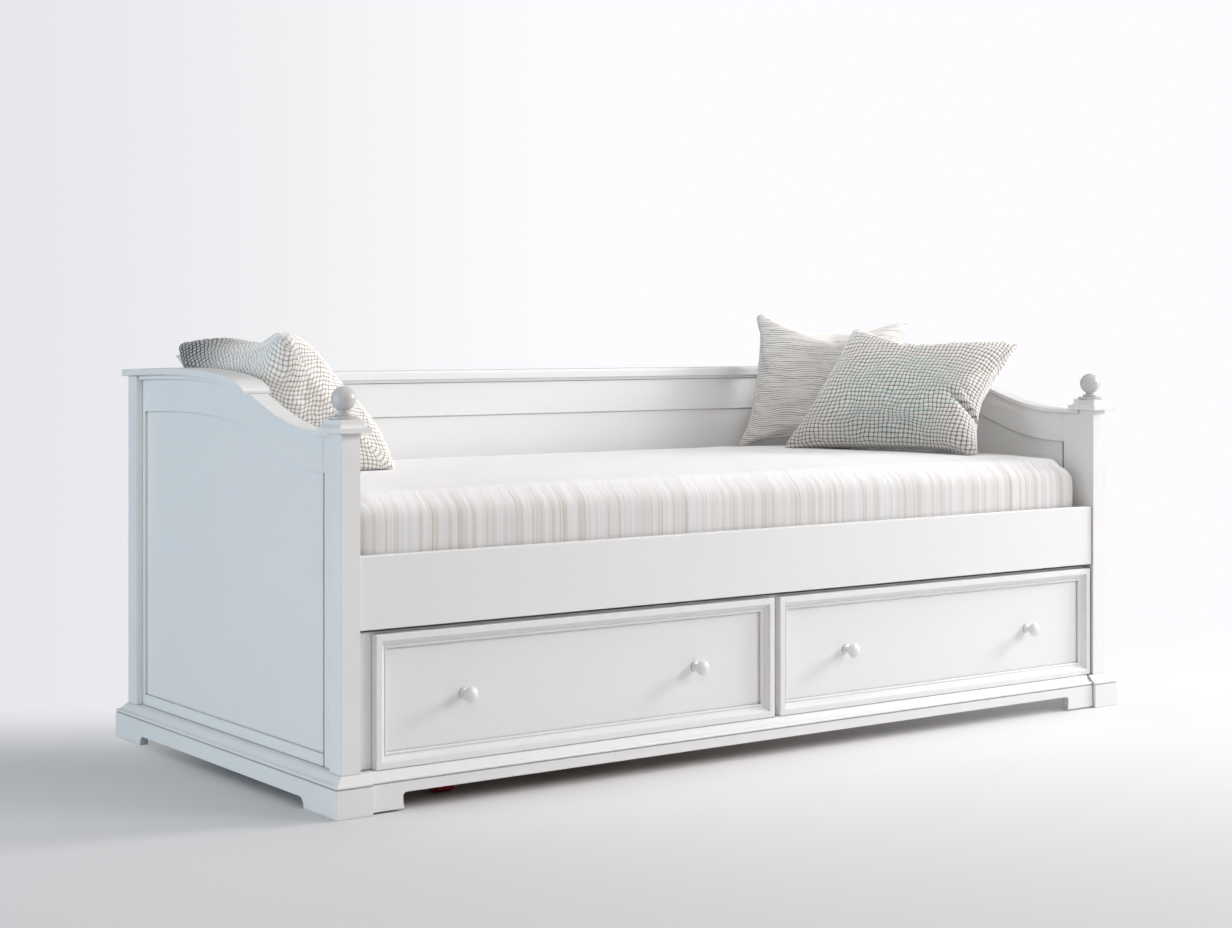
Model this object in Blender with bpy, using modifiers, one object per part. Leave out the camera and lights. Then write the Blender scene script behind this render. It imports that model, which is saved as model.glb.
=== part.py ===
"""Storage daybed in painted wood.

Two panelled ends with a swept crest, a panelled back, a slatted base, a mattress, four pillows
and one wide storage drawer that rolls out from under the bed on four wheels.

Metres, +Z up, +X along the length, the front towards -Y. The origin is on the floor, in the middle
of the footprint.
"""
import math

import bmesh
import bpy
from mathutils import Matrix, Vector

# Fits
SEAT_GAP = 0.0003
WELD_DISTANCE = 0.00001
CUT_OVERRUN = 0.050

# Lying surface
MATTRESS_LENGTH = 2.000
MATTRESS_WIDTH = 0.900
MATTRESS_THICKNESS = 0.180
MATTRESS_CROWN = 0.015
MATTRESS_END_CLEARANCE = 0.010
MATTRESS_FRONT_CLEARANCE = 0.009
MATTRESS_BACK_CLEARANCE = 0.010

# Posts and the plinths under them
POST_WIDTH = 0.040
POST_DEPTH = 0.046
POST_TOP = 0.719
FRONT_STILE_WIDTH = 0.054
BACK_STILE_WIDTH = 0.010
PLINTH_PROJECTION = 0.021
PLINTH_BLOCK_WIDTH = 0.077
SIDE_FOOT_LENGTH = 0.133
SIDE_ARCH_HEIGHT = 0.021
SIDE_ARCH_RADIUS = 0.018

# Section of the base moulding, from the floor up
FASCIA_HEIGHT = 0.056
BASE_BEAD_HEIGHT = 0.007
BASE_QUIRK = 0.0055
OGEE_HEIGHT = 0.014
PLINTH_BOARD_THICKNESS = 0.019
PLINTH_TOP_THICKNESS = 0.016
OGEE_STEPS = 5
BEAD_STEPS = 4

# End frames
END_FRAME_SETBACK = 0.015
END_PANEL_THICKNESS = 0.013
END_PANEL_SETBACK = 0.006
END_BOTTOM_RAIL_HEIGHT = 0.024
END_TOP_RAIL_HEIGHT = 0.080
LIPPING_THICKNESS = 0.009
LIPPING_OUTER_OVERHANG = 0.011
LIPPING_INNER_OVERHANG = 0.005

# Crest of the ends, seen from the side
CREST_PEAK = 0.817
CREST_BACK_DROP = 0.007
CREST_PEAK_FROM_BACK = 0.295
CREST_BEND_FROM_FRONT = 0.430
CREST_BEND_SHARE = 0.715
CREST_BEND_SLOPE = 0.37
CREST_HANDLE_SHARES = (0.41, 0.44, 0.16, 0.44, 0.36, 0.33)
CREST_STEPS = 8

# Cap along the high part of each end
END_CAP_THICKNESS = 0.015
END_CAP_OVERHANG = 0.012
END_CAP_BACK_OVERHANG = 0.012
END_CAP_START = 0.416
END_CAP_NOSE = 0.070
END_CAP_NOSE_SHARE = 0.40
END_CAP_NOSE_STEPS = 4
CAP_NOSING = 0.0025

# Post caps and ball finials
POST_CAP_BASE_HEIGHT = 0.011
POST_CAP_HEIGHT = 0.026
POST_CAP_OVERHANG_X = 0.016
POST_CAP_FRONT_OVERHANG = 0.018
POST_CAP_BACK_OVERHANG = 0.022
POST_CAP_FILLET = 0.003
POST_CAP_COVE = 0.007
POST_CAP_COVE_STEPS = 3
BALL_RADIUS = 0.024
FINIAL_DISC_RADIUS = 0.029
FINIAL_DISC_HEIGHT = 0.005
FINIAL_RING_RADIUS = 0.017
FINIAL_RING_HEIGHT = 0.006
FINIAL_NECK_RADIUS = 0.010
FINIAL_NECK_HEIGHT = 0.005
FINIAL_SIDES = 24
FINIAL_SETBACK = 0.006
BALL_STEPS = 9

# Front rail and back frame
RAIL_BOTTOM = 0.345
RAIL_HEIGHT = 0.140
RAIL_THICKNESS = 0.022
RAIL_SETBACK = 0.005
BACK_SETBACK = 0.030
BACK_PANEL_THICKNESS = 0.010
BACK_PANEL_SETBACK = 0.005
BACK_CAP_THICKNESS = 0.030
BACK_CAP_OVERHANG = 0.012
BACK_CAP_COVE = 0.008
BACK_CAP_NOSING = 0.006
BACK_TOP_RAIL_HEIGHT = 0.082
BACK_BELOW_CREST = 0.031

# Slatted base
LEDGER_RISE = 0.035
LEDGER_HEIGHT = 0.020
LEDGER_DEPTH = 0.030
SLAT_COUNT = 10
SLAT_WIDTH = 0.090
SLAT_THICKNESS = 0.020
SLAT_END_CLEARANCE = 0.003

# Drawer front
DRAWER_SIDE_CLEARANCE = 0.003
DRAWER_TOP_CLEARANCE = 0.006
DRAWER_FLOOR_CLEARANCE = 0.004
DRAWER_BLOCK_CLEARANCE = 0.0015
DRAWER_PLINTH_SETBACK = 0.008
DRAWER_FRONT_SETBACK = 0.025
DRAWER_FRONT_THICKNESS = 0.018
DRAWER_LEFT_FOOT = 0.068
DRAWER_RIGHT_FOOT = 0.084
DRAWER_FOOT_FLARE = 0.006
FOOT_FLARE_STEPS = 3
DRAWER_ARCH_HEIGHT = 0.035
DRAWER_ARCH_RADIUS = 0.008
FRAME_TOP_MARGIN = 0.004
FRAME_LEFT_MARGIN = 0.035
FRAME_SPACING = 0.015

# Section of the moulded frames on the drawer front
FRAME_PROJECTION = 0.018
FRAME_FLAT_WIDTH = 0.013
FRAME_SLOPE_WIDTH = 0.010
FRAME_INNER_PROJECTION = 0.007
FRAME_BEAD_WIDTH = 0.005
FRAME_ARRIS = 0.0012
FRAME_QUIRK = 0.0015

# Drawer box
BOX_SIDE_CLEARANCE = 0.034
BOX_BACK_CLEARANCE = 0.110
BOX_WALL = 0.016
BOX_BOTTOM = 0.082
BOX_BOTTOM_THICKNESS = 0.012
BOX_WALL_HEIGHT = 0.160

# Knobs
KNOB_INSET = 0.205
KNOB_HEIGHT = 0.203
ROSE_RADIUS = 0.010
ROSE_THICKNESS = 0.004
STEM_RADIUS = 0.005
STEM_LENGTH = 0.014
KNOB_RADIUS = 0.0160
KNOB_THICKNESS = 0.019
KNOB_SIDES = 18
KNOB_STEPS = 6
KNOB_WIDEST_SHARE = 0.45
KNOB_SHOULDER_SHARES = (0.86, 0.55)
STEM_NECK_SHARES = (1.2, 0.3)
STEM_FOOT_SHARE = 1.25
ROSE_EDGE_SHARE = 0.6

# Wheels and their forks
WHEEL_RADIUS = 0.032
WHEEL_WIDTH = 0.042
WHEEL_SHOULDER = 0.004
WHEEL_SHOULDER_ARC = 60
WHEEL_SHOULDER_STEPS = 2
WHEEL_SIDES = 24
AXLE_RADIUS = 0.005
AXLE_CLEARANCE = 0.0004
FORK_THICKNESS = 0.004
FORK_SIDE_CLEARANCE = 0.0025
FORK_CHEEK_LENGTH = 0.034
FORK_CHEEK_DROP = 0.012
FORK_PLATE_LENGTH = 0.080
WHEEL_INSET_X = 0.193
WHEEL_INSET_Y = 0.050
RIGHT_WHEEL_SETBACK = 0.100

# Edges
WOOD_EDGE = 0.0015
BOARD_EDGE = 0.0008
SOFT_EDGE_SEGMENTS = 2
EDGE_ANGLE = math.radians(30.0)

# Rounding of the mattress
MATTRESS_CORNER = 0.022
MATTRESS_TOP_EDGE = 0.045
MATTRESS_TOP_DRAW_IN = 0.024
MATTRESS_CUTS = 4
OUTER_LOOP_SHARE = 0.9
MIDDLE_LOOP_SHARE = 0.4

# Pillows, corner shares: along the mattress, across it from its front, pillow sizes above it
PILLOW_SIZE = 0.480
PILLOW_CELLS = 7
PILLOW_DRAW_IN_SHARES = {
    "pillow_net_left": 0.13,
    "pillow_plain_left": 0.13,
    "pillow_ribbed_right": 0.20,
    "pillow_net_right": 0.20,
}
RIM_GROWTH = 5.0
SOFT_GAP = 0.0004
PILLOW_GAP = 0.0017
PILLOW_THICKNESSES = {
    "pillow_net_left": 0.150,
    "pillow_plain_left": 0.085,
    "pillow_ribbed_right": 0.110,
    "pillow_net_right": 0.120,
}
FRONT_PILLOWS = {"pillow_plain_left": "pillow_net_left", "pillow_ribbed_right": "pillow_net_right"}
PILLOW_CORNER_SHARES = {
    "pillow_net_left": (
        (0.130, 0.970, -0.024), (0.172, 0.500, -0.011), (0.015, 0.400, 0.587), (-0.001, 0.892, 0.551)),
    "pillow_plain_left": (
        (0.184, 0.976, -0.032), (0.214, 0.703, -0.019), (0.065, 0.631, 0.612), (0.013, 0.987, 0.489)),
    "pillow_ribbed_right": (
        (0.809, 0.937, -0.032), (0.970, 0.603, -0.032), (0.990, 0.650, 0.662), (0.852, 0.960, 0.718)),
    "pillow_net_right": (
        (0.784, 0.648, -0.019), (0.894, 0.148, -0.013), (0.996, 0.220, 0.549), (0.914, 0.689, 0.612)),
}

# Finishes: colour, roughness and metallic value
FINISHES = {
    "white_paint": ((0.80, 0.80, 0.79), 0.45, 0.0),
    "pale_plywood": ((0.72, 0.62, 0.46), 0.60, 0.0),
    "slat_wood": ((0.70, 0.56, 0.38), 0.60, 0.0),
    "mattress_cloth": ((0.82, 0.80, 0.76), 0.90, 0.0),
    "net_cloth": ((0.66, 0.64, 0.58), 0.90, 0.0),
    "plain_cloth": ((0.82, 0.81, 0.79), 0.90, 0.0),
    "ribbed_cloth": ((0.76, 0.72, 0.66), 0.90, 0.0),
    "steel": ((0.55, 0.56, 0.58), 0.35, 1.0),
    "red_tread": ((0.35, 0.02, 0.02), 0.55, 0.0),
}


# Places worked out from the sizes above

post_inner_x = MATTRESS_LENGTH / 2 + MATTRESS_END_CLEARANCE
post_outer_x = post_inner_x + POST_WIDTH
base_x = post_outer_x + PLINTH_PROJECTION
end_frame_outer_x = post_outer_x - END_FRAME_SETBACK
block_inner_x = base_x - PLINTH_BLOCK_WIDTH

base_depth = (2 * PLINTH_PROJECTION + RAIL_SETBACK + RAIL_THICKNESS + MATTRESS_FRONT_CLEARANCE
              + MATTRESS_WIDTH + MATTRESS_BACK_CLEARANCE + RAIL_THICKNESS + BACK_SETBACK)
base_front = -base_depth / 2
base_back = base_depth / 2
post_front = base_front + PLINTH_PROJECTION
post_back = base_back - PLINTH_PROJECTION
front_post_inside = post_front + POST_DEPTH
back_post_inside = post_back - POST_DEPTH
front_stile_inside = front_post_inside + FRONT_STILE_WIDTH
back_stile_inside = back_post_inside - BACK_STILE_WIDTH

rail_front = post_front + RAIL_SETBACK
rail_inside = rail_front + RAIL_THICKNESS
mattress_front = rail_inside + MATTRESS_FRONT_CLEARANCE
mattress_back = mattress_front + MATTRESS_WIDTH
back_inside = mattress_back + MATTRESS_BACK_CLEARANCE
back_outside = back_inside + RAIL_THICKNESS

plinth_top = FASCIA_HEIGHT + BASE_BEAD_HEIGHT + OGEE_HEIGHT
rail_top = RAIL_BOTTOM + RAIL_HEIGHT
ledger_top = RAIL_BOTTOM + LEDGER_RISE + LEDGER_HEIGHT
slat_bottom = ledger_top + SEAT_GAP
mattress_bottom = slat_bottom + SLAT_THICKNESS + SEAT_GAP
mattress_crown_top = mattress_bottom + MATTRESS_THICKNESS + MATTRESS_CROWN
crest_low = POST_TOP - SEAT_GAP
crest_back = CREST_PEAK - CREST_BACK_DROP
back_top = CREST_PEAK - BACK_BELOW_CREST
end_cap_start = base_front + END_CAP_START
end_cap_inner_x = post_inner_x - END_CAP_OVERHANG

drawer_board_front = post_front + DRAWER_FRONT_SETBACK
drawer_board_back = drawer_board_front + DRAWER_FRONT_THICKNESS
drawer_plinth_front = base_front + DRAWER_PLINTH_SETBACK
drawer_board_x = post_inner_x - DRAWER_SIDE_CLEARANCE
drawer_board_top = RAIL_BOTTOM - DRAWER_TOP_CLEARANCE
frame_top = drawer_board_top - FRAME_TOP_MARGIN
frame_bottom = plinth_top + SEAT_GAP
frame_length = drawer_board_x - (FRAME_LEFT_MARGIN + FRAME_SPACING) / 2
box_x = drawer_board_x - BOX_SIDE_CLEARANCE
box_front = drawer_board_back + SEAT_GAP
box_back = base_back - BOX_BACK_CLEARANCE
box_floor = BOX_BOTTOM + BOX_BOTTOM_THICKNESS

SIDES = {"left": -1, "right": 1}


# Scene and collections

for old_object in list(bpy.data.objects):
    bpy.data.objects.remove(old_object)


def new_collection(name):
    collection = bpy.data.collections.new(name)
    bpy.context.scene.collection.children.link(collection)
    return collection


parts = new_collection("storage_daybed")
cutters = new_collection("cutters")


def make_finish(name):
    colour, roughness, metallic = FINISHES[name]
    material = bpy.data.materials.new(name)
    material.use_nodes = True
    shader = material.node_tree.nodes["Principled BSDF"]
    shader.inputs["Base Color"].default_value = (*colour, 1.0)
    shader.inputs["Roughness"].default_value = roughness
    shader.inputs["Metallic"].default_value = metallic
    return material


finishes = {name: make_finish(name) for name in FINISHES}


# Modelling helpers

def face_outwards(solid):
    """Turn the faces of a closed bmesh outwards."""
    bmesh.ops.recalc_face_normals(solid, faces=solid.faces[:])
    if solid.calc_volume(signed=True) < 0.0:
        bmesh.ops.reverse_faces(solid, faces=solid.faces[:])


def from_bmesh(name, solid, finish, collection=None):
    """Make an object of a bmesh and free it."""
    mesh = bpy.data.meshes.new(name)
    solid.to_mesh(mesh)
    solid.free()
    mesh.materials.append(finishes[finish])
    piece = bpy.data.objects.new(name, mesh)
    (collection or parts).objects.link(piece)
    return piece


def box(name, x_range, y_range, z_range, finish="white_paint", collection=None):
    """A rectangular board between two values on each axis."""
    low = Vector((min(x_range), min(y_range), min(z_range)))
    high = Vector((max(x_range), max(y_range), max(z_range)))
    solid = bmesh.new()
    placing = Matrix.LocRotScale((low + high) / 2, None, high - low)
    bmesh.ops.create_cube(solid, size=1.0, matrix=placing)
    return from_bmesh(name, solid, finish, collection)


def soften(piece, width, segments=SOFT_EDGE_SEGMENTS):
    """Round the sharp edges of a piece."""
    bevel = piece.modifiers.new("softened_edges", "BEVEL")
    bevel.width = width
    bevel.segments = segments
    bevel.limit_method = "ANGLE"
    bevel.angle_limit = EDGE_ANGLE
    return piece


def board(name, x_range, y_range, z_range, finish="white_paint", edge=WOOD_EDGE):
    return soften(box(name, x_range, y_range, z_range, finish), edge)


def flat_curve(name, points, closed=True):
    """A 2D curve through points, with straight sides."""
    curve = bpy.data.curves.new(name, "CURVE")
    curve.dimensions = "2D"
    curve.fill_mode = "NONE"
    spline = curve.splines.new("POLY")
    spline.points.add(len(points) - 1)
    for target, (across, up) in zip(spline.points, points):
        target.co = (across, up, 0.0, 1.0)
    spline.use_cyclic_u = closed
    return bpy.data.objects.new(name, curve)


def as_mesh(source, name, finish, collection=None):
    """Turn a curve into a welded mesh object in the same place and remove the curve."""
    depsgraph = bpy.context.evaluated_depsgraph_get()
    mesh = bpy.data.meshes.new_from_object(source.evaluated_get(depsgraph))
    solid = bmesh.new()
    solid.from_mesh(mesh)
    bmesh.ops.remove_doubles(solid, verts=solid.verts, dist=WELD_DISTANCE)
    face_outwards(solid)
    for face in solid.faces:
        face.smooth = False
    placing = source.matrix_world.copy()
    bpy.data.meshes.remove(mesh)
    bpy.data.objects.remove(source)
    piece = from_bmesh(name, solid, finish, collection)
    piece.matrix_world = placing
    return piece


def extruded_side(name, outline, x_range, finish="white_paint", collection=None, edge=0.0):
    """A flat outline in Y and Z, extruded along X between two values, its rims rounded."""
    curve_piece = flat_curve(name + "_outline", outline)
    curve_piece.data.fill_mode = "BOTH"
    curve_piece.data.extrude = abs(x_range[1] - x_range[0]) / 2 - edge
    curve_piece.data.bevel_depth = edge
    curve_piece.data.bevel_resolution = 1
    curve_piece.data.offset = -edge
    turn = Matrix(((0, 0, 1), (1, 0, 0), (0, 1, 0))).to_4x4()
    curve_piece.matrix_world = Matrix.Translation((sum(x_range) / 2, 0, 0)) @ turn
    cutters.objects.link(curve_piece)
    bpy.context.view_layer.update()
    return as_mesh(curve_piece, name, finish, collection)


def moulding(name, section, path, closed, placing, finish="white_paint"):
    """Sweep a moulding section along a flat path with mitred corners."""
    section_piece = flat_curve(name + "_section", section)
    path_piece = flat_curve(name + "_path", path, closed)
    path_piece.data.bevel_mode = "OBJECT"
    path_piece.data.bevel_object = section_piece
    path_piece.data.use_fill_caps = not closed
    path_piece.matrix_world = placing
    for guide in (section_piece, path_piece):
        cutters.objects.link(guide)
    bpy.context.view_layer.update()
    swept = as_mesh(path_piece, name, finish)
    bpy.data.objects.remove(section_piece)
    return swept


def turned(name, profile, sides, placing, finish, collection=None):
    """Turn a profile of radius and height, given from the top down, about the piece's own Z."""
    solid = bmesh.new()
    ring = [solid.verts.new((radius, 0.0, height)) for radius, height in profile]
    for upper, lower in zip(ring, ring[1:]):
        solid.edges.new((upper, lower))
    piece = from_bmesh(name, solid, finish, collection)
    screw = piece.modifiers.new("turning", "SCREW")
    screw.steps = sides
    screw.render_steps = sides
    screw.use_merge_vertices = True
    screw.merge_threshold = WELD_DISTANCE
    screw.use_smooth_shade = True
    piece.matrix_world = placing
    return piece


def combine(piece, other, operation):
    """Boolean a piece with another solid, which becomes a hidden cutter."""
    if other.name not in cutters.objects:
        parts.objects.unlink(other)
        cutters.objects.link(other)
    other.display_type = "WIRE"
    other.hide_render = True
    boolean = piece.modifiers.new(operation.lower() + "_" + other.name, "BOOLEAN")
    boolean.operation = operation
    boolean.solver = "EXACT"
    boolean.object = other
    return piece


def cutter_box(name, x_range, y_range, z_range):
    return box(name, x_range, y_range, z_range, collection=cutters)


def side_range(side, inner, outer):
    """The two X values of something on one side of the bed, given as distances from the middle."""
    return side * inner, side * outer


def arc(centre, radius, start, stop, steps):
    """Points on an arc, its angles in degrees."""
    angles = [math.radians(start + (stop - start) * step / steps) for step in range(steps + 1)]
    return [(centre[0] + radius * math.cos(a), centre[1] + radius * math.sin(a)) for a in angles]


def smooth_share(share):
    """An S-shaped rise from 0 to 1."""
    return share * share * (3 - 2 * share)


def bezier(start, start_handle, end_handle, end, steps):
    """Points on a cubic curve, without its last one."""
    points = []
    for step in range(steps):
        t = step / steps
        weights = ((1 - t) ** 3, 3 * t * (1 - t) ** 2, 3 * t * t * (1 - t), t ** 3)
        controls = (start, start_handle, end_handle, end)
        points.append(tuple(sum(w * c[axis] for w, c in zip(weights, controls)) for axis in (0, 1)))
    return points


# The crest of an end, as points of Y and Z from front to back

def make_crest():
    """The S-curve from the front post up to the arched top and down to the back."""
    low_handle, bend_before, bend_after, rise_handle, peak_handle, back_handle = CREST_HANDLE_SHARES
    front = (front_post_inside + POST_CAP_BACK_OVERHANG + SEAT_GAP, crest_low)
    bend_y = base_front + CREST_BEND_FROM_FRONT
    bend = (bend_y, crest_low + CREST_BEND_SHARE * (CREST_PEAK - crest_low))
    peak = (base_back - CREST_PEAK_FROM_BACK, CREST_PEAK)
    back = (post_back, crest_back)
    first, second, third = bend[0] - front[0], peak[0] - bend[0], back[0] - peak[0]

    def on_bend(step):
        return bend[0] + step, bend[1] + step * CREST_BEND_SLOPE

    points = bezier(front, (front[0] + low_handle * first, front[1]),
                    on_bend(-bend_before * first), bend, CREST_STEPS)
    points += bezier(bend, on_bend(bend_after * second),
                     (peak[0] - rise_handle * second, peak[1]), peak, CREST_STEPS)
    drop = (crest_back - CREST_PEAK) * back_handle
    points += bezier(peak, (peak[0] + peak_handle * third, peak[1]),
                     (back[0] - back_handle * third, back[1] - drop), back, CREST_STEPS // 2)
    return points + [back]


crest_points = make_crest()


def crest_height(y_value):
    """Height of the crest above a point on the floor plan."""
    if y_value <= crest_points[0][0]:
        return crest_points[0][1]
    for (near_y, near_z), (far_y, far_z) in zip(crest_points, crest_points[1:]):
        if y_value <= far_y:
            return near_z + (far_z - near_z) * (y_value - near_y) / (far_y - near_y)
    near, far = crest_points[-2:]
    return far[1] + (far[1] - near[1]) * (y_value - far[0]) / (far[0] - near[0])


def crest_between(front, back, lift):
    """The crest between two Y values, raised or lowered."""
    inner = [(y, z + lift) for y, z in crest_points if front < y < back]
    return [(front, crest_height(front) + lift)] + inner + [(back, crest_height(back) + lift)]


def band_outline(front, back, lower_lift, upper_lift):
    """An outline that follows the crest at two heights."""
    return crest_between(front, back, upper_lift) + crest_between(front, back, lower_lift)[::-1]


def under_crest_outline(front, back, floor, lift):
    """An outline from a level floor up to the crest."""
    return crest_between(front, back, lift) + [(back, floor), (front, floor)]


# Base moulding

def ogee(start, end, steps):
    """An S-shaped run between two points of a section."""
    points = []
    for step in range(steps + 1):
        share = step / steps
        across = start[0] + (end[0] - start[0]) * share
        points.append((across, start[1] + (end[1] - start[1]) * smooth_share(share)))
    return points


def base_section(foot, top_depth):
    """Section of the base moulding: depth behind its face, and height."""
    radius = BASE_BEAD_HEIGHT / 2
    quirk_height = FASCIA_HEIGHT + BASE_BEAD_HEIGHT
    bead = arc((radius, FASCIA_HEIGHT + radius), radius, 270, 90, BEAD_STEPS)
    underside = plinth_top - PLINTH_TOP_THICKNESS
    return ([(PLINTH_BOARD_THICKNESS, foot), (0.0, foot), (0.0, FASCIA_HEIGHT - radius / 2)] + bead
            + ogee((BASE_QUIRK, quirk_height), (PLINTH_PROJECTION, plinth_top), OGEE_STEPS)
            + [(top_depth, plinth_top), (top_depth, underside), (PLINTH_BOARD_THICKNESS, underside)])


def foot_edge(x_value, flare, rise):
    """Lower part of a foot's edge beside an arch, spreading by the flare at the floor."""
    points = []
    for step in range(FOOT_FLARE_STEPS):
        turn = math.radians(90.0) * step / FOOT_FLARE_STEPS
        points.append((x_value + flare * (1 - math.sin(turn)), rise * (1 - math.cos(turn))))
    return points


def arch_outline(start, end, height, radius, flare=0.0):
    """A low arch that goes down past the floor, with rounded top corners."""
    rise = height - radius
    left = foot_edge(start, flare, rise) if flare else []
    right = foot_edge(end, -flare, rise)[::-1] if flare else []
    return ([(start + flare, -CUT_OVERRUN)] + left
            + arc((start + radius, rise), radius, 180, 90, BEAD_STEPS)
            + arc((end - radius, rise), radius, 90, 0, BEAD_STEPS)
            + right + [(end - flare, -CUT_OVERRUN)])


def end_plinth(side_name, side):
    """Moulded base of one end, mitred round the corners, with an arch between its feet."""
    name = side_name + "_plinth"
    path = [(block_inner_x, base_front), (base_x, base_front),
            (base_x, base_back), (block_inner_x, base_back)]
    path = [(side * x, y) for x, y in path]
    if side > 0:
        path.reverse()
    section = base_section(0.0, PLINTH_PROJECTION + POST_WIDTH)
    plinth = moulding(name, section, path, False, Matrix.Identity(4))
    arch = extruded_side(
        name + "_arch",
        arch_outline(base_front + SIDE_FOOT_LENGTH, base_back - SIDE_FOOT_LENGTH,
                     SIDE_ARCH_HEIGHT, SIDE_ARCH_RADIUS),
        (side * (base_x + CUT_OVERRUN), side * (block_inner_x - CUT_OVERRUN)), collection=cutters)
    return combine(plinth, arch, "DIFFERENCE")


# Ends

def front_post(side_name, side):
    """Front post with the stile that the end panel butts against."""
    low = plinth_top + SEAT_GAP
    post = box(side_name + "_front_post", side_range(side, post_inner_x, post_outer_x),
               (post_front, front_post_inside), (low, POST_TOP - SEAT_GAP))
    stile = cutter_box(
        side_name + "_front_stile", side_range(side, post_inner_x, end_frame_outer_x),
        (front_post_inside - END_FRAME_SETBACK, front_stile_inside),
        (low, crest_low - LIPPING_THICKNESS - SEAT_GAP))
    return combine(post, stile, "UNION")


def back_post(side_name, side):
    """Back post with its stile, cut off under the cap."""
    low = plinth_top + SEAT_GAP
    post = box(side_name + "_back_post", side_range(side, post_inner_x, post_outer_x),
               (back_post_inside, post_back), (low, CREST_PEAK))
    stile = extruded_side(
        side_name + "_back_stile",
        under_crest_outline(back_stile_inside, back_post_inside + END_FRAME_SETBACK, low,
                            -LIPPING_THICKNESS - SEAT_GAP),
        side_range(side, post_inner_x, end_frame_outer_x), collection=cutters)
    above = extruded_side(
        side_name + "_back_post_trim",
        crest_between(back_post_inside - CUT_OVERRUN, base_back + CUT_OVERRUN, 0.0)
        + [(base_back + CUT_OVERRUN, CREST_PEAK + CUT_OVERRUN),
           (back_post_inside - CUT_OVERRUN, CREST_PEAK + CUT_OVERRUN)],
        side_range(side, post_inner_x - CUT_OVERRUN, post_outer_x + CUT_OVERRUN),
        collection=cutters)
    combine(post, above, "DIFFERENCE")
    return combine(post, stile, "UNION")


def end_top_rail(side_name, side):
    """Swept top rail with a wider lipping along its upper edge."""
    name = side_name + "_top_rail"
    rail = extruded_side(
        name,
        band_outline(front_stile_inside + SEAT_GAP, back_stile_inside - SEAT_GAP,
                     -END_TOP_RAIL_HEIGHT, -LIPPING_THICKNESS / 2),
        side_range(side, post_inner_x, end_frame_outer_x))
    lipping = extruded_side(
        side_name + "_lipping",
        band_outline(front_post_inside + SEAT_GAP, back_post_inside - SEAT_GAP,
                     -LIPPING_THICKNESS, 0.0),
        side_range(side, post_inner_x - LIPPING_INNER_OVERHANG,
                   end_frame_outer_x + LIPPING_OUTER_OVERHANG), collection=cutters)
    return combine(rail, lipping, "UNION")


def end_bottom_rail(side_name, side):
    return board(side_name + "_bottom_rail", side_range(side, post_inner_x, end_frame_outer_x),
                 (front_stile_inside + SEAT_GAP, back_stile_inside - SEAT_GAP),
                 (plinth_top + SEAT_GAP, plinth_top + END_BOTTOM_RAIL_HEIGHT), edge=BOARD_EDGE)


def end_panel(side_name, side):
    """Flat panel set back inside the end frame, its top following the crest."""
    outer = end_frame_outer_x - END_PANEL_SETBACK
    outline = under_crest_outline(
        front_stile_inside + SEAT_GAP, back_stile_inside - SEAT_GAP,
        plinth_top + END_BOTTOM_RAIL_HEIGHT + SEAT_GAP, -END_TOP_RAIL_HEIGHT - SEAT_GAP)
    return extruded_side(side_name + "_panel", outline,
                         side_range(side, outer - END_PANEL_THICKNESS, outer))


def end_cap(side_name, side):
    """Overhanging cap along the high part of the end, with a rounded nose in front."""
    start, stop = end_cap_start, post_back + END_CAP_BACK_OVERHANG
    nose = []
    for step in range(END_CAP_NOSE_STEPS):
        turn = math.radians(90.0) * step / END_CAP_NOSE_STEPS
        y = start + END_CAP_NOSE * (1 - math.cos(turn))
        share = END_CAP_NOSE_SHARE + (1 - END_CAP_NOSE_SHARE) * math.sin(turn)
        nose.append((y, crest_height(y) + END_CAP_THICKNESS * share))
    outline = (nose + crest_between(start + END_CAP_NOSE, stop, END_CAP_THICKNESS)
               + crest_between(start, stop, SEAT_GAP)[::-1])
    return extruded_side(side_name + "_cap", outline,
                         side_range(side, end_cap_inner_x, post_outer_x + END_CAP_OVERHANG),
                         edge=CAP_NOSING)


def post_cap(side_name, side):
    """Cap of the front post: a square base, a fillet and a cove up to a smaller square top."""
    x_low, x_high = sorted(side_range(side, post_inner_x - POST_CAP_OVERHANG_X,
                                      post_outer_x + POST_CAP_OVERHANG_X))
    y_low, y_high = post_front - POST_CAP_FRONT_OVERHANG, front_post_inside + POST_CAP_BACK_OVERHANG
    base_top = POST_TOP + POST_CAP_BASE_HEIGHT
    cove = arc((POST_CAP_FILLET, base_top + POST_CAP_COVE), POST_CAP_COVE, 270, 360,
               POST_CAP_COVE_STEPS)
    inset = POST_CAP_FILLET + POST_CAP_COVE
    top = POST_TOP + POST_CAP_HEIGHT
    section = [(BOARD_EDGE, POST_TOP), (0.0, POST_TOP + BOARD_EDGE), (0.0, base_top - BOARD_EDGE),
               (BOARD_EDGE, base_top)] + cove + [(inset, top - BOARD_EDGE), (inset + BOARD_EDGE, top)]
    solid = bmesh.new()
    rings = []
    for inward, height in section:
        corners = ((x_low + inward, y_low + inward), (x_high - inward, y_low + inward),
                   (x_high - inward, y_high - inward), (x_low + inward, y_high - inward))
        rings.append([solid.verts.new((x, y, height)) for x, y in corners])
    for lower, upper in zip(rings, rings[1:]):
        for index in range(4):
            following = (index + 1) % 4
            solid.faces.new((lower[index], lower[following], upper[following], upper[index]))
    solid.faces.new(rings[0][::-1])
    solid.faces.new(rings[-1])
    return from_bmesh(side_name + "_post_cap", solid, "white_paint")


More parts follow.
